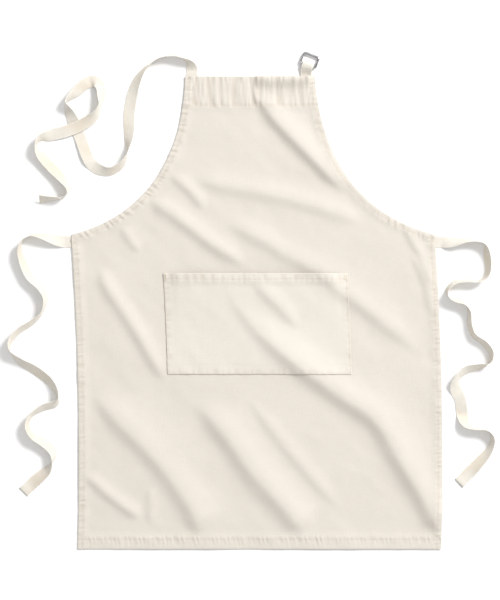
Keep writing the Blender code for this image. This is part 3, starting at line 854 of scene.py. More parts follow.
FOLDS = (
    # bib
    Fold(
        ((-0.010, 0.410), (0.038, 0.349), (0.085, 0.301), (0.122, 0.263), (0.168, 0.216)),
        0.0106, 0.012, 0.026, 0.24, 0.22,
    ),
    Fold(((-0.001, 0.446), (-0.003, 0.415), (0.004, 0.380)), 0.0022, 0.0025, 0.006),
    Fold(((-0.004, 0.4285), (0.045, 0.427), (0.112, 0.4295)), 0.0085, 0.014, 0.012, 0.10, 0.10),
    # between the armholes and the pocket
    Fold(
        ((-0.205, 0.207), (-0.143, 0.166), (-0.084, 0.121), (-0.015, 0.078)),
        0.0068, 0.013, 0.018, 0.15, 0.25,
    ),
    Fold(((-0.164, 0.254), (-0.128, 0.226), (-0.096, 0.188)), 0.0042, 0.009, 0.013),
    Fold(
        ((-0.120, 0.241), (-0.027, 0.222), (0.047, 0.207), (0.122, 0.187), (0.200, 0.160)),
        0.0050, 0.014, 0.020, 0.15, 0.15,
    ),
    Fold((
        (-0.064, 0.164), (0.006, 0.130), (0.057, 0.099), (0.110, 0.071), (0.152, 0.037), (0.205, -0.002),
        (0.253, -0.042), (0.314, -0.089),
    ), 0.0060, 0.015, 0.024, 0.15, 0.24),
    Fold(((-0.255, 0.160), (-0.237, 0.132), (-0.217, 0.108)), 0.0032, 0.008, 0.012),
    Fold(((0.270, 0.162), (0.305, 0.106), (0.328, 0.044)), 0.0036, 0.007, 0.012),
    Fold(((0.285, 0.115), (0.314, 0.056), (0.324, -0.010)), 0.0028, 0.007, 0.010),
    # from the left side to the pocket
    Fold((
        (-0.300, 0.086), (-0.280, 0.039), (-0.245, -0.012), (-0.210, -0.070), (-0.170, -0.140),
    ), 0.0060, 0.012, 0.016, 0.15, 0.20),
    # across the pocket to the lower right corner
    Fold((
        (-0.078, 0.066), (-0.037, 0.001), (0.001, -0.045), (0.066, -0.101), (0.150, -0.163),
        (0.216, -0.210), (0.257, -0.275), (0.300, -0.345), (0.338, -0.420),
    ), 0.0128, 0.019, 0.036, 0.42, 0.06),
    Fold(((-0.012, 0.056), (0.042, 0.005), (0.080, -0.036)), 0.0042, 0.012, 0.018),
    # below the pocket
    Fold((
        (-0.314, -0.152), (-0.271, -0.204), (-0.224, -0.251), (-0.177, -0.303), (-0.130, -0.372),
        (-0.112, -0.424),
    ), 0.0100, 0.019, 0.034, 0.22, 0.12),
    Fold((
        (-0.120, -0.172), (-0.061, -0.242), (-0.009, -0.313), (0.047, -0.373), (0.086, -0.424),
    ), 0.0110, 0.020, 0.036, 0.22, 0.12),
    Fold(((-0.026, -0.152), (0.038, -0.238), (0.085, -0.294), (0.160, -0.380)), 0.0036, 0.012, 0.016),
    Fold(((-0.322, -0.306), (-0.267, -0.354), (-0.216, -0.390)), 0.0050, 0.010, 0.014, 0.15, 0.15),
    Fold(((-0.201, -0.323), (-0.200, -0.361), (-0.201, -0.399)), 0.0020, 0.007, 0.012),
)


@dataclass
class Lay:
    """How the whole cloth lies: its ridges, broad swells and small crumples."""

    skew: float = 0.0196
    bow: float = 0.007
    bow_from: float = -0.442
    bow_to: float = 0.1325
    swell: float = 0.0010
    crumple: float = 0.00035

    def shift(self, y: np.ndarray) -> np.ndarray:
        """How far the laid cloth lies to the right of its cut: it leans, and its skirt bows."""
        up = np.clip((y - self.bow_from) / (self.bow_to - self.bow_from), 0, 1)
        return self.bow * 4 * up * (1 - up) - self.skew * y

    def cut_x(self, x: np.ndarray, y: np.ndarray) -> np.ndarray:
        """Sideways place on the flat cut of a point of the laid cloth."""
        return x - self.shift(y)

    def laid(self, points: np.ndarray) -> np.ndarray:
        """Places of the cut's points on the table."""
        moved = np.array(points, float)
        moved[:, 0] += self.shift(moved[:, 1])
        return moved

    def lift(self, x: np.ndarray, y: np.ndarray) -> np.ndarray:
        """Height of the cloth off the table over each point."""
        total = np.zeros(x.shape)
        for fold in FOLDS:
            total += fold.lift(x, y)
        along, across = (x - y) * 0.70711, (x + y) * 0.70711
        total += self.swell * (1 + soft_noise(along / 0.11 + 3.2, across / 0.045 + 7.1, 11))
        total += self.crumple * (1 + soft_noise(along / 0.030, across / 0.017, 12))
        return total


# ---------------------------------------------------------------- the canvas


class Edge(Enum):
    """The edges of the apron's cut, in order round it."""

    BOTTOM = 0
    SIDE_RIGHT = 1
    ARMHOLE_RIGHT = 2
    TOP = 3
    ARMHOLE_LEFT = 4
    SIDE_LEFT = 5


@dataclass
class Panel:
    """The apron's canvas: bib and skirt in one sheet, hemmed all round."""

    lay: Lay
    length: float = 0.884
    skirt_width: float = 0.680
    bib_width: float = 0.243
    armhole_depth: float = 0.296
    armhole_controls: tuple[Point, Point] = ((0.028, 0.46), (0.30, 0.87))
    top_band: float = 0.056
    bottom_hem: float = 0.021
    side_hem: float = 0.011
    armhole_hem: float = 0.011
    seam_inset: float = 0.0022
    cell: float = 0.0050
    fine_cell: float = 0.0020
    rim_cell: float = 0.0019
    round_edge: float = 0.0012
    wave: float = 0.0036               # from one pucker to the next
    straight_pucker: float = 0.0016    # height of the puckers along a straight hem
    armhole_pucker: float = 0.0023     # and along an armhole
    gather: float = 0.0015             # height of the top band's gathers
    seam_depth: float = 0.0004
    band_rows: float = 0.0055          # between the top band's two rows of stitches
    tape_rooms: list = field(default_factory=list)     # places where a sewn end lies under the hem

    def armhole(self, side: Side, count: int = 60) -> np.ndarray:
        """Points of one armhole on the cut, from the skirt's corner up to the bib's corner."""
        share = np.linspace(1, 0, count + 1)
        rest = 1 - share
        weights = (rest**3, 3 * rest**2 * share, 3 * rest * share**2, share**3)
        (near_x, near_y), (far_x, far_y) = self.armhole_controls
        width = (self.skirt_width - self.bib_width) / 2
        x = self.bib_width / 2 + width * sum(w * c for w, c in zip(weights, (0, near_x, far_x, 1)))
        y = self.length / 2 - self.armhole_depth * sum(w * c for w, c in zip(weights, (0, near_y, far_y, 1)))
        return np.stack([x * side.value, y], axis=1)

    def edges(self) -> dict[Edge, np.ndarray]:
        """The edges of the cut, counterclockwise, each from its start to the next one's start."""
        half, low = self.skirt_width / 2, -self.length / 2
        right, left = self.armhole(Side.RIGHT), self.armhole(Side.LEFT)[::-1]
        return {
            Edge.BOTTOM: np.array([(-half, low), (half, low)]),
            Edge.SIDE_RIGHT: np.array([(half, low), right[0]]),
            Edge.ARMHOLE_RIGHT: right,
            Edge.TOP: np.array([right[-1], left[0]]),
            Edge.ARMHOLE_LEFT: left,
            Edge.SIDE_LEFT: np.array([left[-1], (-half, low)]),
        }

    def hem(self, edge: Edge) -> float:
        """Width of the hem along an edge."""
        widths = {Edge.BOTTOM: self.bottom_hem, Edge.TOP: self.top_band}
        if edge in (Edge.SIDE_LEFT, Edge.SIDE_RIGHT):
            return self.side_hem
        return widths.get(edge, self.armhole_hem)

    def outline(self) -> np.ndarray:
        """The cut's outline, counterclockwise and without its last point."""
        return np.concatenate([line[:-1] for line in self.edges().values()])

    def inner_lines(self, step_back: float) -> dict[Edge, np.ndarray]:
        """Lines inside the outline, one along each hem.

        Args:
            step_back: How far each line stays outside its hem's inner edge.

        Returns:
            The lines on the cut, which meet at the corners.
        """
        moved = {}
        for edge, line in self.edges().items():
            width = self.hem(edge) - step_back
            moved[edge] = line + left_of(np.gradient(line, axis=0)) * width
        order = list(moved)
        for here, there in zip(order, order[1:] + order[:1]):
            self.meet(moved, here, there)
        return moved

    def meet(self, lines: dict[Edge, np.ndarray], here: Edge, there: Edge) -> None:
        """Trims or extends two neighbouring lines so that one starts where the other ends."""
        first, second = lines[here], lines[there]
        best = None
        for i in range(len(first) - 1):
            for j in range(len(second) - 1):
                cross = crossing(first[i], first[i + 1], second[j], second[j + 1])
                if cross is not None:
                    best = (i, j, cross)
        if best:
            i, j, cross = best
            lines[here] = np.concatenate([first[:i + 1], [cross]])
            lines[there] = np.concatenate([[cross], second[j + 1:]])
            return
        middle = (first[-1] + second[0]) / 2
        lines[here] = np.concatenate([first, [middle]])
        lines[there] = np.concatenate([[middle], second])

    def area(self) -> float:
        """Area of the cut."""
        x, y = self.outline().T
        return float(abs(np.dot(x, np.roll(y, -1)) - np.dot(y, np.roll(x, -1))) / 2)

    def shape(self, x: np.ndarray, y: np.ndarray) -> dict[str, np.ndarray]:
        """Reads the laid cloth at points of the table.

        Args:
            x: The points' x.
            y: The points' y.

        Returns:
            The upper surface, the thickness, the mask for a painted highlight along the cut's edges, and the
            mask for painted shade in the seams' grooves and the puckers' hollows.
        """
        cut_x = self.lay.cut_x(x, y)
        lift = self.lay.lift(x, y)
        hem_share, rounding = np.zeros(x.shape), np.ones(x.shape)
        puckers, groove = np.zeros(x.shape), np.zeros(x.shape)
        highlight_mask = np.zeros(x.shape)
        for number, (edge, line) in enumerate(self.edges().items()):
            away, run = along_path(line, cut_x, y)
            away = np.abs(away)
            width = self.hem(edge)
            hem_share = np.maximum(hem_share, 1 - smooth_step(away, width - FOLD_OVER, width + FOLD_OVER))
            curve = np.sqrt(1 - np.clip(1 - away / self.round_edge, 0, 1) ** 2)
            rounding = np.minimum(rounding, curve)
            seam = width - self.seam_inset
            groove = np.maximum(groove, np.exp(-(((away - seam) / 0.0011) ** 2)))
            # Painted highlight mask along the cut's edges.
            highlight_mask = np.maximum(highlight_mask, np.exp(-((away / 0.0010) ** 2)))
            puckers += self.pucker(edge, number, away, run, seam)
        slope = 1 - smooth_step(self.hem_distance(cut_x, y), -0.002, 0.014)
        thickness = CANVAS + (HEM_THICKNESS - CANVAS) * hem_share
        top = CANVAS + (HEM_THICKNESS - CANVAS) * slope + lift + puckers - self.seam_depth * groove
        for middle, half in self.tape_rooms:
            inside = smooth_step(half[0] + 0.002 - np.abs(x - middle[0]), 0, 0.002)
            inside *= smooth_step(half[1] + 0.002 - np.abs(y - middle[1]), 0, 0.002)
            thickness -= inside * (thickness - CANVAS)
            top = np.maximum(top, inside * (TAPE_THICKNESS + 2 * CANVAS + 2 * CLEAR))
        squeeze = thickness * (1 - rounding) / 2
        top = np.maximum(top, thickness + 0.0001)
        return {
            "top": top - squeeze,
            "thickness": thickness - 2 * squeeze * 0.92,
            "edge": highlight_mask,
            # Painted shade mask: the seams' grooves and the puckers' hollows.
            "sunk": np.maximum(groove, np.clip(-puckers / 0.0008, 0, 1)),
        }

    def hem_distance(self, cut_x: np.ndarray, y: np.ndarray) -> np.ndarray:
        """How far inside the nearest hem's inner edge a point is; negative in a hem."""
        nearest = np.full(y.shape, 1.0)
        for edge, line in self.edges().items():
            away, _ = along_path(line, cut_x, y)
            nearest = np.minimum(nearest, np.abs(away) - self.hem(edge))
        return nearest

    def pucker(self, edge: Edge, number: int, away: np.ndarray, run: np.ndarray, seam: float) -> np.ndarray:
        """Small waves that the stitching draws up along a hem.

        Args:
            edge: The hem's edge.
            number: Picks the pattern.
            away: Distance from the edge.
            run: Length run along the edge.
            seam: The stitching's distance from the edge.

        Returns:
            The waves' heights.
        """
        waves = soft_noise(run / self.wave + 0.25 * away / self.wave, away / 0.02, 30 + number)
        slow = 0.65 + 0.35 * soft_noise(run / 0.045, away * 0 + 0.5, 50 + number)
        spread = np.where(away < seam, 0.010, 0.0050)
        if edge is Edge.TOP:
            band = smooth_step(self.top_band + 0.004 - away, 0, 0.006)
            gather = soft_noise(run / 0.0075 + 0.03 * away / 0.0075, away / 0.05 + 0.3, 40)
            gather += 0.8 * soft_noise(run / self.wave, away / 0.025, 41)
            strength = 0.45 + 0.55 * np.exp(-((away / 0.014) ** 2))
            strength += 0.35 * np.exp(-(((away - seam) / 0.008) ** 2))
            return self.gather * gather * strength * band
        curved = edge in (Edge.ARMHOLE_LEFT, Edge.ARMHOLE_RIGHT)
        height = self.armhole_pucker if curved else self.straight_pucker
        return height * slow * (waves + 0.2) * np.exp(-(((away - seam) / spread) ** 2))

    def plan(self) -> tuple[np.ndarray, list]:
        """Spreads points over the cut and joins them with triangles that follow every hem.

        Returns:
            The points on the cut and the triangles.
        """
        rim = np.concatenate([even_path(line, self.rim_cell)[:-1] for line in self.edges().values()])
        points, chains = [tuple(p) for p in rim], []
        count = len(points)
        chains += [(i, (i + 1) % count) for i in range(count)]
        for step_back in (self.seam_inset, 0.0):
            for line in self.inner_lines(step_back).values():
                first = len(points)
                points += [tuple(p) for p in even_path(line, self.fine_cell)]
                chains += [(i, i + 1) for i in range(first, len(points) - 1)]
        for inset in (0.0005, 0.0014):
            points += [tuple(p) for p in self.rim_row(rim, inset)]
        fixed = np.array(points)
        extra = np.concatenate([self.grid(self.cell, False), self.grid(self.fine_cell, True)])
        extra = extra[self.clear_of(extra, fixed, 0.0013)]
        everything = [Vector(p) for p in points] + [Vector(p) for p in extra]
        found = delaunay_2d_cdt(everything, chains, [], 1, 1e-6)
        places = np.array([tuple(p) for p in found[0]])
        return places, [tuple(face) for face in found[2]]

    def rim_row(self, rim: np.ndarray, inset: float) -> np.ndarray:
        """A row of points just inside the outline."""
        return rim + left_of(np.roll(rim, -1, axis=0) - np.roll(rim, 1, axis=0)) * inset

    def grid(self, cell: float, near_hem: bool) -> np.ndarray:
        """Staggered rows of points, either near a hem or away from every hem."""
        half, tall = self.skirt_width / 2, self.length / 2
        rows = []
        for k, y in enumerate(np.arange(-tall, tall, cell * 0.866)):
            x = np.arange(-half + (k % 2) * cell / 2, half, cell)
            rows.append(np.stack([x, np.full(x.shape, y)], axis=1))
        points = np.concatenate(rows)
        inside, depth = self.depth(points)
        reach = self.hem_distance(points[:, 0], points[:, 1])
        hemmed = (depth < self.bottom_hem + 0.01) | (points[:, 1] > tall - self.top_band - 0.01)
        fine = (reach < 0.004) & hemmed
        return points[inside & (depth > 0.0026) & (fine == near_hem)]

    def depth(self, points: np.ndarray) -> tuple[np.ndarray, np.ndarray]:
        """Whether points are inside the outline, and how far from it they are."""
        line = self.outline()
        line = np.concatenate([line, line[:1]])
        away, _ = along_path(line, points[:, 0], points[:, 1])
        crossings = np.zeros(len(points), int)
        for near, far in zip(line, line[1:]):
            spans = (near[1] > points[:, 1]) != (far[1] > points[:, 1])
            rise = (far[1] - near[1]) or 1e-12
            at = near[0] + (points[:, 1] - near[1]) * (far[0] - near[0]) / rise
            crossings += spans & (points[:, 0] < at)
        return crossings % 2 == 1, np.abs(away)

    def clear_of(self, points: np.ndarray, others: np.ndarray, gap: float) -> np.ndarray:
        """Picks the points that keep a gap to other points."""
        taken = {(int(x // gap), int(y // gap)) for x, y in others}
        keep = np.ones(len(points), bool)
        for i, (x, y) in enumerate(points):
            column, row = int(x // gap), int(y // gap)
            near = ((column + a, row + b) for a in (-1, 0, 1) for b in (-1, 0, 1))
            keep[i] = not any(cell in taken for cell in near)
        return keep

    def build(self, finish: bpy.types.Material) -> bpy.types.Object:
        """Builds the canvas as one closed sheet."""
        cut, faces = self.plan()
        laid = self.lay.laid(cut)
        shape = self.shape(laid[:, 0], laid[:, 1])
        return make_sheet("apron_canvas", laid, shape, faces, finish)

    def on_cloth(self, line: np.ndarray, rise: float) -> np.ndarray:
        """Puts a line of the cut on the laid cloth's upper surface."""
        laid = self.lay.laid(line)
        top = self.shape(laid[:, 0], laid[:, 1])["top"]
        return np.column_stack([laid, top + rise])

    def sew(self, stitcher: Stitcher) -> list[bpy.types.Object]:
        """Sews every hem."""
        lines = self.inner_lines(self.seam_inset)
        names = {
            Edge.BOTTOM: "bottom_hem_thread",
            Edge.SIDE_RIGHT: "side_hem_thread_right",
            Edge.SIDE_LEFT: "side_hem_thread_left",
            Edge.ARMHOLE_RIGHT: "armhole_thread_right",
            Edge.ARMHOLE_LEFT: "armhole_thread_left",
            Edge.TOP: "top_band_thread",
        }
        rise = stitcher.thread * STITCH_SUNK
        made = []
        for edge, node in names.items():
            rows = [self.on_cloth(even_path(lines[edge], SEAM_STEP), rise)]
            if edge is Edge.TOP:
                second = self.inner_lines(self.seam_inset + self.band_rows)[edge]
                rows.append(self.on_cloth(even_path(second, SEAM_STEP), rise))
            made.append(stitcher.sew(node.replace("thread", "stitches"), rows, "apron", node))
        return made


def crossing(a: np.ndarray, b: np.ndarray, c: np.ndarray, d: np.ndarray) -> np.ndarray | None:
    """Where two straight pieces cross, or None."""
    first, second = b - a, d - c
    turn = first[0] * second[1] - first[1] * second[0]
    if abs(turn) < 1e-12:
        return None
    gap = c - a
    t = (gap[0] * second[1] - gap[1] * second[0]) / turn
    u = (gap[0] * first[1] - gap[1] * first[0]) / turn
    return a + first * t if 0 <= t <= 1 and 0 <= u <= 1 else None


@dataclass
class Pocket:
    """The patch pocket, sewn along its sides and bottom and open at the top."""

    panel: Panel
    width: float = 0.344
    height: float = 0.189
    fall: float = 0.368
    seam: float = 0.008
    bulge: float = 0.0055
    mouth_hem: float = 0.014
    bartack: float = 0.012
    cell: float = 0.0028

    @property
    def top_y(self) -> float:
        """The mouth's place on the cut."""
        return self.panel.length / 2 - self.fall

    def shape(self, x: np.ndarray, y: np.ndarray) -> dict[str, np.ndarray]:
        """Reads the pocket over points of its cut.

        Args:
            x: The points' sideways places on the cut.
            y: The points' places along it.

        Returns:
            The upper surface, the thickness, the mask for a painted highlight along the pocket's edges, and
            the mask for painted shade in its seams' grooves and its puckers' hollows.
        """
        half = self.width / 2
        side = half - np.abs(x)
        low = y - (self.top_y - self.height)
        mouth = self.top_y - y
        sewn = np.minimum(side, low)
        laid = self.panel.lay.laid(np.stack([x, y], axis=1))
        cloth = self.panel.shape(laid[:, 0], laid[:, 1])["top"]
        turned = 1 - smooth_step(sewn, self.seam - FOLD_OVER, self.seam + FOLD_OVER)
        mouth_turned = 1 - smooth_step(mouth, self.mouth_hem - FOLD_OVER, self.mouth_hem + FOLD_OVER)
        thickness = CANVAS + CANVAS * turned
        thickness = np.maximum(thickness, CANVAS + (HEM_THICKNESS - CANVAS) * mouth_turned)
        level = CANVAS + CANVAS * (1 - smooth_step(sewn, self.seam - 0.001, self.seam + 0.010))
        mouth_level = 1 - smooth_step(mouth, self.mouth_hem - 0.001, self.mouth_hem + 0.012)
        level = np.maximum(level, CANVAS + (HEM_THICKNESS - CANVAS) * mouth_level)
        stand = self.bulge * np.sqrt(np.clip(side / 0.05, 0, 1)) * (1 - smooth_step(mouth, 0, 0.11))
        stand *= smooth_step(side, 0, 0.03)
        stand += 0.0012 * smooth_step(sewn, 0.003, 0.022)
        rim = np.minimum(sewn, mouth)
        rounding = np.sqrt(1 - np.clip(1 - rim / 0.0009, 0, 1) ** 2)
        run = np.where(side < low, y, x)
        pucker = 0.0008 * soft_noise(run / 0.005, sewn / 0.03, 71)
        pucker *= np.exp(-(((sewn - 0.002) / 0.007) ** 2))
        gather = soft_noise(x / 0.0045, y / 0.03, 72) + 0.6 * soft_noise(x / 0.02, y / 0.05, 73)
        pucker += 0.0009 * gather * np.exp(-(((mouth - 0.009) / 0.009) ** 2))
        groove = np.exp(-(((sewn - self.panel.seam_inset) / 0.0009) ** 2))
        groove = np.maximum(groove, np.exp(-(((mouth - self.mouth_hem + 0.002) / 0.0011) ** 2)))
        settle = smooth_step(sewn, 0.0, 0.010)
        top = cloth + CLEAR + level + 0.0003 + stand * settle + pucker - self.panel.seam_depth * groove
        top = np.maximum(top, cloth + CLEAR + thickness)
        squeeze = thickness * (1 - rounding) / 2
        # Painted highlight mask along the pocket's edges.
        highlight_mask = np.exp(-((rim / 0.0008) ** 2))
        # Painted shade mask: the seams' grooves, the mouth hem's step and the puckers' hollows.
        sunk = np.maximum(groove, np.clip(-pucker / 0.0006, 0, 1))
        return {"top": top - squeeze, "thickness": thickness - 1.8 * squeeze, "edge": highlight_mask, "sunk": sunk}

    def marks(self, low: float, high: float, mouth: bool = False) -> np.ndarray:
        """Places of the grid's lines from one sewn edge to the other edge, which may be the mouth."""
        rim = [0.0, 0.0004, 0.001]
        start = rim + [0.0022, 0.0035, 0.005, 0.0065, self.seam - FOLD_OVER, self.seam + FOLD_OVER]
        end = start
        if mouth:
            fold = [self.mouth_hem - FOLD_OVER, self.mouth_hem + FOLD_OVER]
            end = rim + [0.003, 0.006, 0.009, 0.0108, 0.012, 0.013] + fold
        first, last = low + start[-1], high - end[-1]
        count = round((last - first) / self.cell)
        middle = np.linspace(first, last, count + 1)[1:-1]
        return np.concatenate([low + np.array(start), middle, high - np.array(end[::-1])])

    def build(self, finish: bpy.types.Material) -> bpy.types.Object:
        """Builds the pocket as one closed sheet over the canvas."""
        half, low = self.width / 2, self.top_y - self.height
        columns = self.marks(-half, half)
        rows = self.marks(low, self.top_y, mouth=True)
        x, y = (grid.ravel() for grid in np.meshgrid(columns, rows))
        shape = self.shape(x, y)
        laid = self.panel.lay.laid(np.stack([x, y], axis=1))
        wide = len(columns)
        faces = []
        for r in range(len(rows) - 1):
            for c in range(wide - 1):
                k = r * wide + c
                faces.append((k, k + 1, k + 1 + wide, k + wide))
        return make_sheet("pocket_canvas", laid, shape, faces, finish)

    def on_pocket(self, line: np.ndarray, rise: float) -> np.ndarray:
        """Puts a line of the cut on the pocket's upper surface."""
        top = self.shape(line[:, 0], line[:, 1])["top"]
        return np.column_stack([self.panel.lay.laid(line), top + rise])

    def sew(self, stitcher: Stitcher) -> list[bpy.types.Object]:
        """Sews the pocket's seam, its mouth hem and its bartacks."""
        half = self.width / 2 - self.panel.seam_inset
        low = self.top_y - self.height + self.panel.seam_inset
        high = self.top_y - 0.0015
        rise = stitcher.thread * STITCH_SUNK
        seam = even_path(np.array([(-half, high), (-half, low), (half, low), (half, high)]), SEAM_STEP)
        hem_y = self.top_y - self.mouth_hem + 0.002
        hem = even_path(np.array([(-half + 0.003, hem_y), (half - 0.003, hem_y)]), SEAM_STEP)
        made = [stitcher.sew(
            "pocket_stitches", [self.on_pocket(seam, rise), self.on_pocket(hem, rise)],
            "apron", "pocket_seam_thread",
        )]
        for side in Side:
            x = side.value * (self.width / 2 - self.seam / 2)
            zigzag = []
            turns = 22
            for k in range(turns + 1):
                y = self.top_y - 0.0012 - self.bartack * k / turns
                zigzag.append((x + (0.0013 if k % 2 else -0.0013), y))
            line = self.on_pocket(even_path(np.array(zigzag), 0.0006), rise)
            tack = Stitcher(stitcher.finish, pitch=0.0011, length=0.0015, thread=0.0005)
            made.append(tack.sew(f"pocket_tack_{side.word}", [line], "apron", f"pocket_bartack_{side.word}"))
        return made


# ---------------------------------------------------------------- tapes


NECK_STRAP_ROUTE: Route = (
    (0.0000, 0.0000, 0, 0.0000),
    (-0.0030, 0.0080, -32, 0.0000),
    (-0.0110, 0.0175, -78, 0.0000),
    (-0.0350, 0.0270, -104, 0.0000),
    (-0.0590, 0.0220, -92, 0.0000),
    (-0.0800, 0.0095, -100, 0.0000),
    (-0.0995, -0.0140, -130, 0.0000),
    (-0.1115, -0.0460, -160, 0.0000),
    (-0.1175, -0.0820, -174, 0.0000),
    (-0.1175, -0.1140, -158, 0.0000),
    (-0.1195, -0.1410, -118, 0.0000),
    (-0.1225, -0.1625, -82, 0.0000),
    (-0.1345, -0.1805, -56, 0.0000),
    (-0.1565, -0.1905, -42, 0.0000),
    (-0.1820, -0.1815, -8, 0.0000),
    (-0.1960, -0.1620, 14, 0.0000),
    (-0.2075, -0.1300, 4, 0.0000),
    (-0.2220, -0.0960, -6, 0.0000),
    (-0.2330, -0.0720, -58, 0.0000),
    (-0.2345, -0.0590, -98, 0.0000),
    (-0.2155, -0.0410, -148, 0.0000),
    (-0.1980, -0.0255, -168, 0.0005),
    (-0.1820, -0.0210, -197, 0.0005),
    (-0.1710, -0.0305, -213, 0.0005),
    (-0.1690, -0.0485, -228, 0.0005),
    (-0.1715, -0.0665, -258, 0.0010),
    (-0.1815, -0.0870, -222, 0.0026),
    (-0.2040, -0.1020, -192, 0.0038),
    (-0.2340, -0.1145, -184, 0.0038),
    (-0.2620, -0.1215, -196, 0.0018),
    (-0.2835, -0.1280, -240, 0.0000),
    (-0.2910, -0.1420, -262, 0.0000),
    (-0.2830, -0.1585, -225, 0.0000),
    (-0.2650, -0.1800, -213, 0.0000),
    (-0.2450, -0.2000, -218, 0.0000),
    (-0.2320, -0.2185, -245, 0.0000),
    (-0.2340, -0.2335, -268, 0.0000),
    (-0.2435, -0.2395, -264, 0.0000),
    (-0.2640, -0.2415, -244, 0.0000),
    (-0.2850, -0.2420, -222, 0.0000),
)
TIE_LEFT_ROUTE: Route = (
    (0.0000, 0.0000, 0, 0.0),
    (-0.0170, 0.0035, 25, 0.0),
    (-0.0410, 0.0100, 58, 0.0),
    (-0.0620, 0.0125, 78, 0.0),
    (-0.0790, 0.0025, 97, 0.0),
    (-0.0840, -0.0170, 112, 0.0),
    (-0.0770, -0.0415, 128, 0.0),
    (-0.0655, -0.0655, 135, 0.0),
    (-0.0460, -0.0845, 128, 0.0),
    (-0.0360, -0.1070, 110, 0.0),
    (-0.0430, -0.1330, 98, 0.0),
    (-0.0610, -0.1505, 115, 0.0),
    (-0.0860, -0.1665, 118, 0.0),
    (-0.1020, -0.1865, 108, 0.0),
    (-0.1020, -0.2050, 88, 0.0),
    (-0.0845, -0.2235, 50, 0.0),
    (-0.0580, -0.2385, 42, 0.0),
    (-0.0320, -0.2580, 42, 0.0),
    (-0.0170, -0.2790, 62, 0.0),
    (-0.0120, -0.2950, 95, 0.0),
    (-0.0210, -0.3040, 130, 0.0),
    (-0.0415, -0.3100, 122, 0.0),
    (-0.0630, -0.3245, 108, 0.0),
    (-0.0705, -0.3435, 110, 0.0),
    (-0.0610, -0.3620, 122, 0.0),
    (-0.0415, -0.3740, 136, 0.0),
    (-0.0235, -0.3900, 134, 0.0),
    (-0.0220, -0.4095, 96, 0.0),
    (-0.0340, -0.4275, 45, 0.0),
    (-0.0545, -0.4455, 10, 0.0),
    (-0.0780, -0.4680, 0, 0.0),
)
TIE_RIGHT_ROUTE: Route = (
    (0.0000, 0.0000, 0, 0.0),
    (0.0195, -0.0005, -28, 0.0),
    (0.0440, 0.0035, -62, 0.0),
    (0.0665, 0.0025, -78, 0.0),
    (0.0805, -0.0060, -98, 0.0),
    (0.0845, -0.0235, -120, 0.0),
    (0.0870, -0.0450, -120, 0.0),
    (0.0830, -0.0640, -112, 0.0),
    (0.0680, -0.0740, -98, 0.0),
    (0.0460, -0.0720, -106, 0.0),
    (0.0235, -0.0760, -110, 0.0),
    (0.0095, -0.0910, -106, 0.0),
    (0.0140, -0.1040, -88, 0.0),
    (0.0280, -0.1100, -72, 0.0),
    (0.0430, -0.1160, -82, 0.0),
    (0.0510, -0.1310, -104, 0.0),
    (0.0520, -0.1555, -112, 0.0),
    (0.0600, -0.1750, -112, 0.0),
    (0.0795, -0.1900, -118, 0.0),
    (0.0920, -0.2070, -112, 0.0),
    (0.0890, -0.2265, -92, 0.0),
    (0.0710, -0.2335, -58, 0.0),
    (0.0460, -0.2395, -42, 0.0),
    (0.0295, -0.2545, -55, 0.0),
    (0.0260, -0.2735, -12, 0.0),
    (0.0350, -0.2955, 15, 0.0),
    (0.0385, -0.3200, 2, 0.0),
    (0.0450, -0.3395, -48, 0.0),
    (0.0625, -0.3475, -72, 0.0),
    (0.0850, -0.3515, -82, 0.0),
    (0.0950, -0.3675, -104, 0.0),
    (0.0880, -0.3900, -125, 0.0),
    (0.0690, -0.4130, -152, 0.0),
    (0.0515, -0.4320, -172, 0.0),
    (0.0325, -0.4515, -180, 0.0),
)


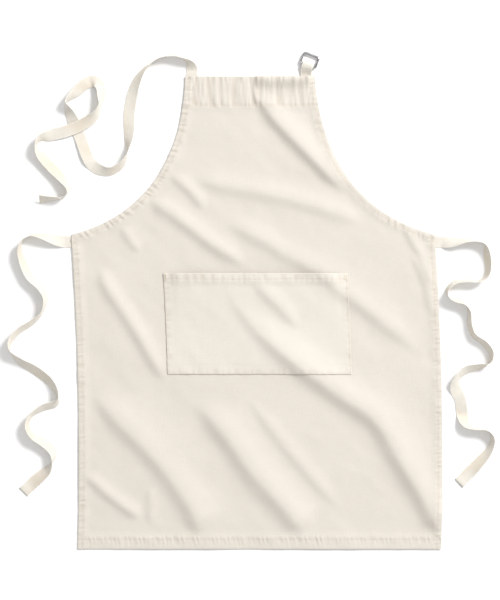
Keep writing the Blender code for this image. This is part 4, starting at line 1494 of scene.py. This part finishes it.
@dataclass
class Tape:
    """A free tape, sewn under a hem at one end and cut and turned at the other."""

    name: str
    body: str
    route: Route
    heading: tuple[float, float]        # of its first stretch, away from the cloth
    bend: tuple[float, float]           # a direction on the table
    bend_from: float
    bend_to: float
    sewn: float                         # length under the hem
    length: float                       # whole length, sewn end included
    nodes: tuple[str, ...]
    seed: int
    pivot_out: float = 0.0119
    step: float = 0.003
    turned: float = 0.009               # turned end at the cut

    def pivot(self) -> np.ndarray:
        """The middle of the tape's round end in the model, on the joint's axis."""
        joint = next(j for j in frame["joints"] if j["child"] == self.body)
        return np.array(joint["pos_m"], float)

    def places(self) -> np.ndarray:
        """The tape's course from its sewn end: x, y, roll in degrees and lift."""
        root = self.pivot()
        route = smooth_path(self.route, self.step)
        route[:, :2] += root[:2]
        back = self.pivot_out + self.sewn
        count = max(3, round(back / self.step))
        away = np.linspace(-back, 0, count + 1)[:-1]
        start = np.zeros((count, 4))
        start[:, 0] = root[0] + away * self.heading[0]
        start[:, 1] = root[1] + away * self.heading[1]
        return np.concatenate([start, route])

    def course(self) -> tuple[np.ndarray, np.ndarray, np.ndarray]:
        """Middles, sideways directions and face directions of the tape's cross-sections."""
        places = self.places()
        ahead = np.gradient(places[:, :2], axis=0)
        ahead[0:3] = self.heading
        ahead /= np.hypot(*ahead.T)[:, None]
        run = np.arange(len(places)) * self.step
        limp = smooth_step(run, 0.05, 0.09) * soft_noise(run / 0.022, run * 0 + 0.5, self.seed) * 5.0
        roll = np.radians(places[:, 2] + limp)
        left = np.column_stack([-ahead[:, 1], ahead[:, 0], np.zeros(len(ahead))])
        across = left * np.cos(roll)[:, None]
        across[:, 2] = np.sin(roll)
        forward = np.column_stack([ahead, np.zeros(len(ahead))])
        through = np.cross(forward, across)
        half = TAPE_WIDTH / 2
        height = half * np.abs(np.sin(roll)) + TAPE_THICKNESS / 2 * np.abs(np.cos(roll))
        height += places[:, 3] + CLEAR
        middles = np.column_stack([places[:, :2], height])
        return middles, across, through

    def section(self) -> np.ndarray:
        """The cross-section: sideways and through places, with rounded selvedges."""
        half, thick = TAPE_WIDTH / 2, TAPE_THICKNESS / 2
        steps = 12
        side = np.linspace(-half + thick, half - thick, steps + 1)
        upper = np.stack([side, np.full(side.shape, thick)], axis=1)
        lower = upper[::-1] * (1, -1)
        right = [(half - thick * 0.3, thick * 0.7), (half, 0.0), (half - thick * 0.3, -thick * 0.7)]
        left = [(-x, -y) for x, y in right]
        return np.concatenate([upper, right, lower, left])

    def build(self, finish: bpy.types.Material) -> tuple[bpy.types.Object, np.ndarray]:
        """Builds the tape.

        Returns:
            The piece and the middles of its cross-sections.
        """
        middles, across, through = self.course()
        outline = self.section()
        half = TAPE_WIDTH / 2
        run = length_run(middles)
        cup = 0.0007 * soft_noise(run / 0.05, run * 0 + 0.5, self.seed + 1) * smooth_step(run, 0.04, 0.08)
        wave = 0.0004 * soft_noise(run / 0.012, run * 0 + 0.5, self.seed + 2) * smooth_step(run, 0.04, 0.08)
        thicker = 1 + 0.9 * smooth_step(run, run[-1] - self.turned - 0.0005, run[-1] - self.turned)
        sections = []
        for k in range(len(middles)):
            bent = (outline[:, 0] / half) ** 2
            bow = cup[k] * (1 - bent) + wave[k] * np.sign(outline[:, 0]) * bent
            depth = outline[:, 1] * thicker[k] + bow
            sections.append(middles[k] + across[k] * outline[:, :1] + through[k] * depth[:, None])
        places, faces = sweep(sections)
        places[:, 2] = np.maximum(places[:, 2], 0.00005)
        piece = make_piece(f"{self.name}_tape", places, faces, finish)
        face_outwards(piece)
        chart_tape(piece, outline[:, 0], run)
        return piece, middles

    def dress(self, piece: bpy.types.Object, middles: np.ndarray, extras: list) -> None:
        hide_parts(*self.nodes)
        root = self.pivot()
        bend = np.array(self.bend) / np.hypot(*self.bend)
        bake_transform(piece)
        [tuple(p) for p in middles]
        log.info("%s: %.3f m long", piece.name, length_run(middles)[-1])

    def sew_end(self, stitcher: Stitcher) -> bpy.types.Object:
        """Sews the turned end, with one row of stitches across the tape on each face."""
        middles, across, through = self.course()
        run = length_run(middles)
        k = int(np.searchsorted(run, run[-1] - self.turned + 0.002))
        reach = TAPE_WIDTH / 2 - 0.0015
        rows = []
        for face in (-1, 1):
            out = through[k] * face * (TAPE_THICKNESS * 0.95 + stitcher.thread * 0.1)
            rows.append(np.array([middles[k] + across[k] * s + out for s in np.linspace(-reach, reach, 8)]))
        for row in rows:
            row[:, 2] = np.maximum(row[:, 2], stitcher.thread / 2)
        return stitcher.sew(f"{self.name}_end_stitches", rows, self.body)


# ---------------------------------------------------------------- ring tab and rings


@dataclass
class RingTab:
    """The folded tape at the bib's right corner that holds the two rings."""

    panel: Panel
    root_x: float = 0.105
    sewn: float = 0.020
    reach: float = 0.0205
    lean: float = 0.003
    turn: float = math.radians(-21)
    layer: float = 0.0006
    wire: float = 0.003
    shift: float = 0.0006
    stack: float = 0.00345
    ring_width: float = 0.033
    ring_depth: float = 0.0235
    ring_corner: float = 0.0035

    @property
    def loop_radius(self) -> float:
        """Outer radius of the loop round the rings' bars."""
        return TAPE_THICKNESS + 0.0006 + self.wire / 2 + math.hypot(self.stack / 2, self.shift)

    def root(self) -> tuple[float, float]:
        """Middle of the tab at the bib's edge."""
        y = self.panel.length / 2
        return self.root_x - self.panel.lay.skew * y, y

    def middle(self) -> np.ndarray:
        """Middle of the loop."""
        x, y = self.root()
        return np.array([x + self.lean, y + self.reach, self.loop_radius])

    def point(self, across: float, along: float, height: float) -> np.ndarray:
        """A point of the tab; its width turns from the bib's edge to the loop's own direction."""
        middle, (x, y) = self.middle(), self.root()
        near = np.array([x + across, y + along, height])
        lead = along - self.reach
        cos, sin = math.cos(self.turn), math.sin(self.turn)
        far_x = middle[0] + across * cos - lead * sin
        far_y = middle[1] + across * sin + lead * cos
        far = np.array([far_x, far_y, height])
        share = min(1.0, max(0.0, along / self.reach))
        return near + (far - near) * share

    def run(self) -> np.ndarray:
        """The folded tape from its upper sewn end round the loop to its lower one: along and height."""
        inner = self.loop_radius - self.layer / 2
        rising = [(0.002, 0.0015), (0.007, 0.0031), (0.0123, 0.0064), (0.0168, 0.0088)]
        upper = [(-self.sewn, 0.00125), (-0.004, 0.00128)] + rising
        arc = [
            (self.reach + inner * math.cos(a), self.loop_radius + inner * math.sin(a))
            for a in np.radians((80, 50, 20, -10, -40, -70, -90))
        ]
        lower = [(0.016, 0.0004), (0.008, 0.0004), (0.001, 0.0004), (-self.sewn, 0.0004)]
        return smooth_path(upper + arc + lower, 0.0012)

    def build(self, finish: bpy.types.Material) -> bpy.types.Object:
        """Builds the folded tape."""
        path = self.run()
        out = left_of(np.gradient(path, axis=0))
        half, thick = TAPE_WIDTH / 2, self.layer / 2
        side = np.concatenate([np.linspace(-half, half, 13), np.linspace(half, -half, 13)])
        face = np.concatenate([np.full(13, thick), np.full(13, -thick)])
        run = length_run(path)
        crease = 0.00035 * soft_noise(run / 0.004, run * 0 + 0.5, 91)
        sections = []
        for k, (along, height) in enumerate(path):
            section = []
            for s, f in zip(side, face):
                ripple = crease[k] * math.cos(s / half * 2.0)
                lift = height + out[k][1] * (f + ripple)
                section.append(self.point(s, along + out[k][0] * (f + ripple), max(0.0001, lift)))
            sections.append(section)
        places, faces = sweep(sections)
        piece = make_piece("ring_tab_tape", places, faces, finish)
        face_outwards(piece)
        chart_tape(piece, side, run)
        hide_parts("ring_tab", "ring_tab_sewn_end")
        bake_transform(piece)
        return piece

    def ring_line(self, near: float) -> list[Point]:
        """Centre line of one rectangular ring, along its bars and away from the loop."""
        half = (self.ring_width - self.wire) / 2
        far = near + self.ring_depth - self.wire
        line = []
        for i, (x, y) in enumerate(((-half, near), (half, near), (half, far), (-half, far))):
            centre_x = x - math.copysign(self.ring_corner, x)
            centre_y = y + self.ring_corner if i < 2 else y - self.ring_corner
            for k in range(9):
                angle = math.pi + math.pi / 2 * (i + k / 8)
                x_out, y_out = self.ring_corner * math.cos(angle), self.ring_corner * math.sin(angle)
                line.append((centre_x + x_out, centre_y + y_out))
        return line

    def build_ring(
        self, name: str, near: float, near_height: float, far_height: float, finish: bpy.types.Material
    ) -> bpy.types.Object:
        """Builds one wire ring.

        Args:
            name: The CAD node that it stands for, and its body.
            near: Where its near bar lies, along the tab from the loop's middle.
            near_height: Height of the near bar.
            far_height: Height of the far bar.
            finish: The material.

        Returns:
            The ring.
        """
        middle = self.middle()
        bar = np.array([math.cos(self.turn), math.sin(self.turn), 0.0])
        away = np.array([-bar[1], bar[0], 0.0])
        slope = (far_height - near_height) / (self.ring_depth - self.wire)
        line = self.ring_line(near)
        centres = []
        for x, y in line:
            centre = middle + bar * x + away * y
            centre[2] = near_height + slope * (y - near)
            centres.append(centre)
        centres = np.array(centres)
        ahead = np.roll(centres, -1, axis=0) - np.roll(centres, 1, axis=0)
        ahead /= np.linalg.norm(ahead, axis=1)[:, None]
        angles = np.linspace(0, 2 * math.pi, 24, endpoint=False)
        sections = []
        for centre, direction in zip(centres, ahead):
            out = np.cross(direction, (0, 0, 1))
            out /= np.linalg.norm(out)
            up = np.cross(out, direction)
            ring = [centre + (out * math.cos(a) + up * math.sin(a)) * self.wire / 2 for a in angles]
            sections.append(ring)
        places, faces = sweep(sections, closed=True)
        piece = make_piece(f"{name}_wire", places, faces, finish)
        face_outwards(piece)
        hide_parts(name)
        return piece

    def build_rings(self, finish: bpy.types.Material) -> None:
        """Builds both rings and lets each move with its own body."""
        near = self.loop_radius - self.stack / 2
        far = self.wire / 2
        lower = self.build_ring("ring_lower", self.shift, near, far, finish)
        upper = self.build_ring("ring_upper", -self.shift, near + self.stack, far + self.stack, finish)
        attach(lower, "lower_ring")
        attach(upper, "upper_ring")

    def sew(self, stitcher: Stitcher) -> bpy.types.Object:
        """Sews across the tab just under its loop."""
        reach = TAPE_WIDTH / 2 - 0.002
        rows = []
        for along in (0.0065, 0.0085):
            height = float(np.interp(along, (0.002, 0.007, 0.0123), (0.0015, 0.0031, 0.0064)))
            height += self.layer / 2 + CLEAR
            rows.append(np.array([self.point(s, along, height) for s in np.linspace(-reach, reach, 10)]))
        return stitcher.sew("ring_tab_stitches", rows, "tab")


# ---------------------------------------------------------------- the whole apron


@dataclass
class Apron:
    """The whole apron, piece by piece."""

    finishes: Finishes
    neck_root_x: float = -0.1085
    neck_sewn: float = 0.022
    tie_drop: float = 0.0135
    tie_sewn: float = 0.0085

    def __post_init__(self) -> None:
        """Sets out the cloth and the places where tapes are sewn to it."""
        self.lay = Lay()
        self.panel = Panel(self.lay)
        self.pocket = Pocket(self.panel)
        self.tab = RingTab(self.panel)
        self.stitcher = Stitcher(self.finishes.thread)
        self.panel.tape_rooms = [room for _, room in self.sewn_places()]

    def sewn_places(self) -> list[tuple[str, tuple[Point, Point]]]:
        """The sewn ends' box stitch nodes, with each end's middle and half sizes on the table."""
        top = self.panel.length / 2
        half = TAPE_WIDTH / 2
        rooms = []
        for node, x, sewn in (
            ("neck_strap_box_stitch", self.neck_root_x, self.neck_sewn),
            ("ring_tab_box_stitch", self.tab.root_x, self.tab.sewn),
        ):
            rooms.append((node, ((x - self.lay.skew * top, top - sewn / 2), (half, sewn / 2))))
        tie_y = top - self.panel.armhole_depth - self.tie_drop
        for side in Side:
            x = side.value * (self.panel.skirt_width / 2 - self.tie_sewn / 2) - self.lay.skew * tie_y
            rooms.append((f"tie_box_stitch_{side.word}", ((x, tie_y), (self.tie_sewn / 2, half))))
        return rooms

    def tapes(self) -> list[Tape]:
        """The three free tapes."""
        return [
            Tape(
                "neck_strap", "strap", NECK_STRAP_ROUTE, (0, 1), (-1, 0.5), 0.005, 0.015,
                self.neck_sewn, 0.97, ("neck_strap", "neck_strap_sewn_end"), 101,
            ),
            Tape(
                "waist_tie_left", "tie_left", TIE_LEFT_ROUTE, (-1, 0), (-1, -0.3), -0.006, 0.008,
                self.tie_sewn, 0.742, ("waist_tie_left", "tie_sewn_end_left"), 111,
            ),
            Tape(
                "waist_tie_right", "tie_right", TIE_RIGHT_ROUTE, (1, 0), (1, -0.3), -0.006, 0.008,
                self.tie_sewn, 0.755, ("waist_tie_right", "tie_sewn_end_right"), 121,
            ),
        ]

    def box_stitches(self) -> list[bpy.types.Object]:
        """Sews a square of stitches over each sewn end."""
        made = []
        for node, (middle, half) in self.sewn_places():
            x, y = middle
            wide, tall = half[0] - 0.0018, half[1] - 0.0018
            turns = ((-1, -1), (1, -1), (1, 1), (-1, 1), (-1, -1))
            square = [(x + wide * a, y + tall * b) for a, b in turns]
            line = even_path(np.array(square), 0.0015)
            top = self.panel.shape(line[:, 0], line[:, 1])["top"]
            rows = [np.column_stack([line, top + self.stitcher.thread * STITCH_SUNK])]
            made.append(self.stitcher.sew(node.replace("stitch", "stitches"), rows, "apron", node))
        return made

    def build_tapes(self) -> None:
        """Builds the free tapes."""
        for tape in self.tapes():
            piece, middles = tape.build(self.finishes.tape)
            end = tape.sew_end(self.stitcher)
            tape.dress(piece, middles, [end])

    def build_cloth(self) -> None:
        """Builds the canvas, its pocket and their stitches."""
        canvas = self.panel.build(self.finishes.canvas)
        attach(canvas, "apron")
        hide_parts("body_panel")
        stitches = self.panel.sew(self.stitcher) + self.box_stitches()
        self.panel.area()
        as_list(stitches)
        log.info("%s: %d triangles", canvas.name, len(canvas.data.polygons))
        pocket = self.pocket.build(self.finishes.pocket)
        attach(pocket, "apron")
        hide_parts("pocket_panel")
        stitches = self.pocket.sew(self.stitcher)
        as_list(stitches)

    def build(self) -> None:
        """Builds every piece."""
        self.build_tapes()
        self.build_cloth()
        self.tab.build(self.finishes.tape)
        self.tab.sew(self.stitcher)
        self.tab.build_rings(self.finishes.nickel)


@dataclass
class Studio:
    """A white table under a key light from the upper right and a large soft light."""

    middle: Point = (-0.0088, 0.0238)
    field_height: float = 1.122
    distance: float = 6.0
    key_place: tuple[float, float, float] = (4.3, 4.05, 5.35)
    key_power: float = 560.0
    key_size: float = 2.3
    sky: float = 0.67

    def build_camera(self) -> None:
        """Places the camera straight above the table."""
        data = bpy.data.cameras.new("camera")
        data.sensor_fit = "AUTO"
        data.sensor_width = 36.0
        data.lens = data.sensor_width * self.distance / self.field_height
        data.clip_end = 50.0
        camera = bpy.data.objects.new("camera", data)
        camera.location = (*self.middle, self.distance)
        bpy.context.scene.collection.objects.link(camera)
        bpy.context.scene.camera = camera

    def build_table(self) -> None:
        """Makes the table top."""
        half = 6.0
        corners = np.array([(-half, -half, 0), (half, -half, 0), (half, half, 0), (-half, half, 0)], float)
        table = make_piece("table", corners, [(0, 1, 2, 3)], TableFinish().make(), smooth=False)
        table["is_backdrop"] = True

    def build_lights(self) -> None:
        """Sets the key light and the even light of the room."""
        data = bpy.data.lights.new("key", "AREA")
        data.shape = "DISK"
        data.size = self.key_size
        data.energy = self.key_power
        key = bpy.data.objects.new("key", data)
        place = Vector(self.key_place)
        key.location = place
        key.rotation_euler = (Vector((0, 0, 0)) - place).to_track_quat("-Z", "Y").to_euler()
        bpy.context.scene.collection.objects.link(key)
        world = bpy.data.worlds.new("room")
        world.use_nodes = True
        room = world.node_tree.nodes["Background"]
        room.inputs["Color"].default_value = (1.0, 1.0, 1.0, 1.0)
        room.inputs["Strength"].default_value = self.sky
        bpy.context.scene.world = world

    def build(self) -> None:
        """Builds the studio."""
        self.build_camera()
        self.build_table()
        self.build_lights()
        bpy.context.scene.view_settings.view_transform = "Standard"


def write_sizes() -> None:
    """Measures the model's box and the finished apron's box."""
    boxes = {"cad": CAD_BOX, "visual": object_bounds()}
    plain = {name: [list(corner) for corner in box] for name, box in boxes.items()}


def main() -> None:
    """Builds the studio and the apron."""
    Studio().build()
    Apron(Finishes()).build()
    write_sizes()


if __name__ == "__main__":
    main()
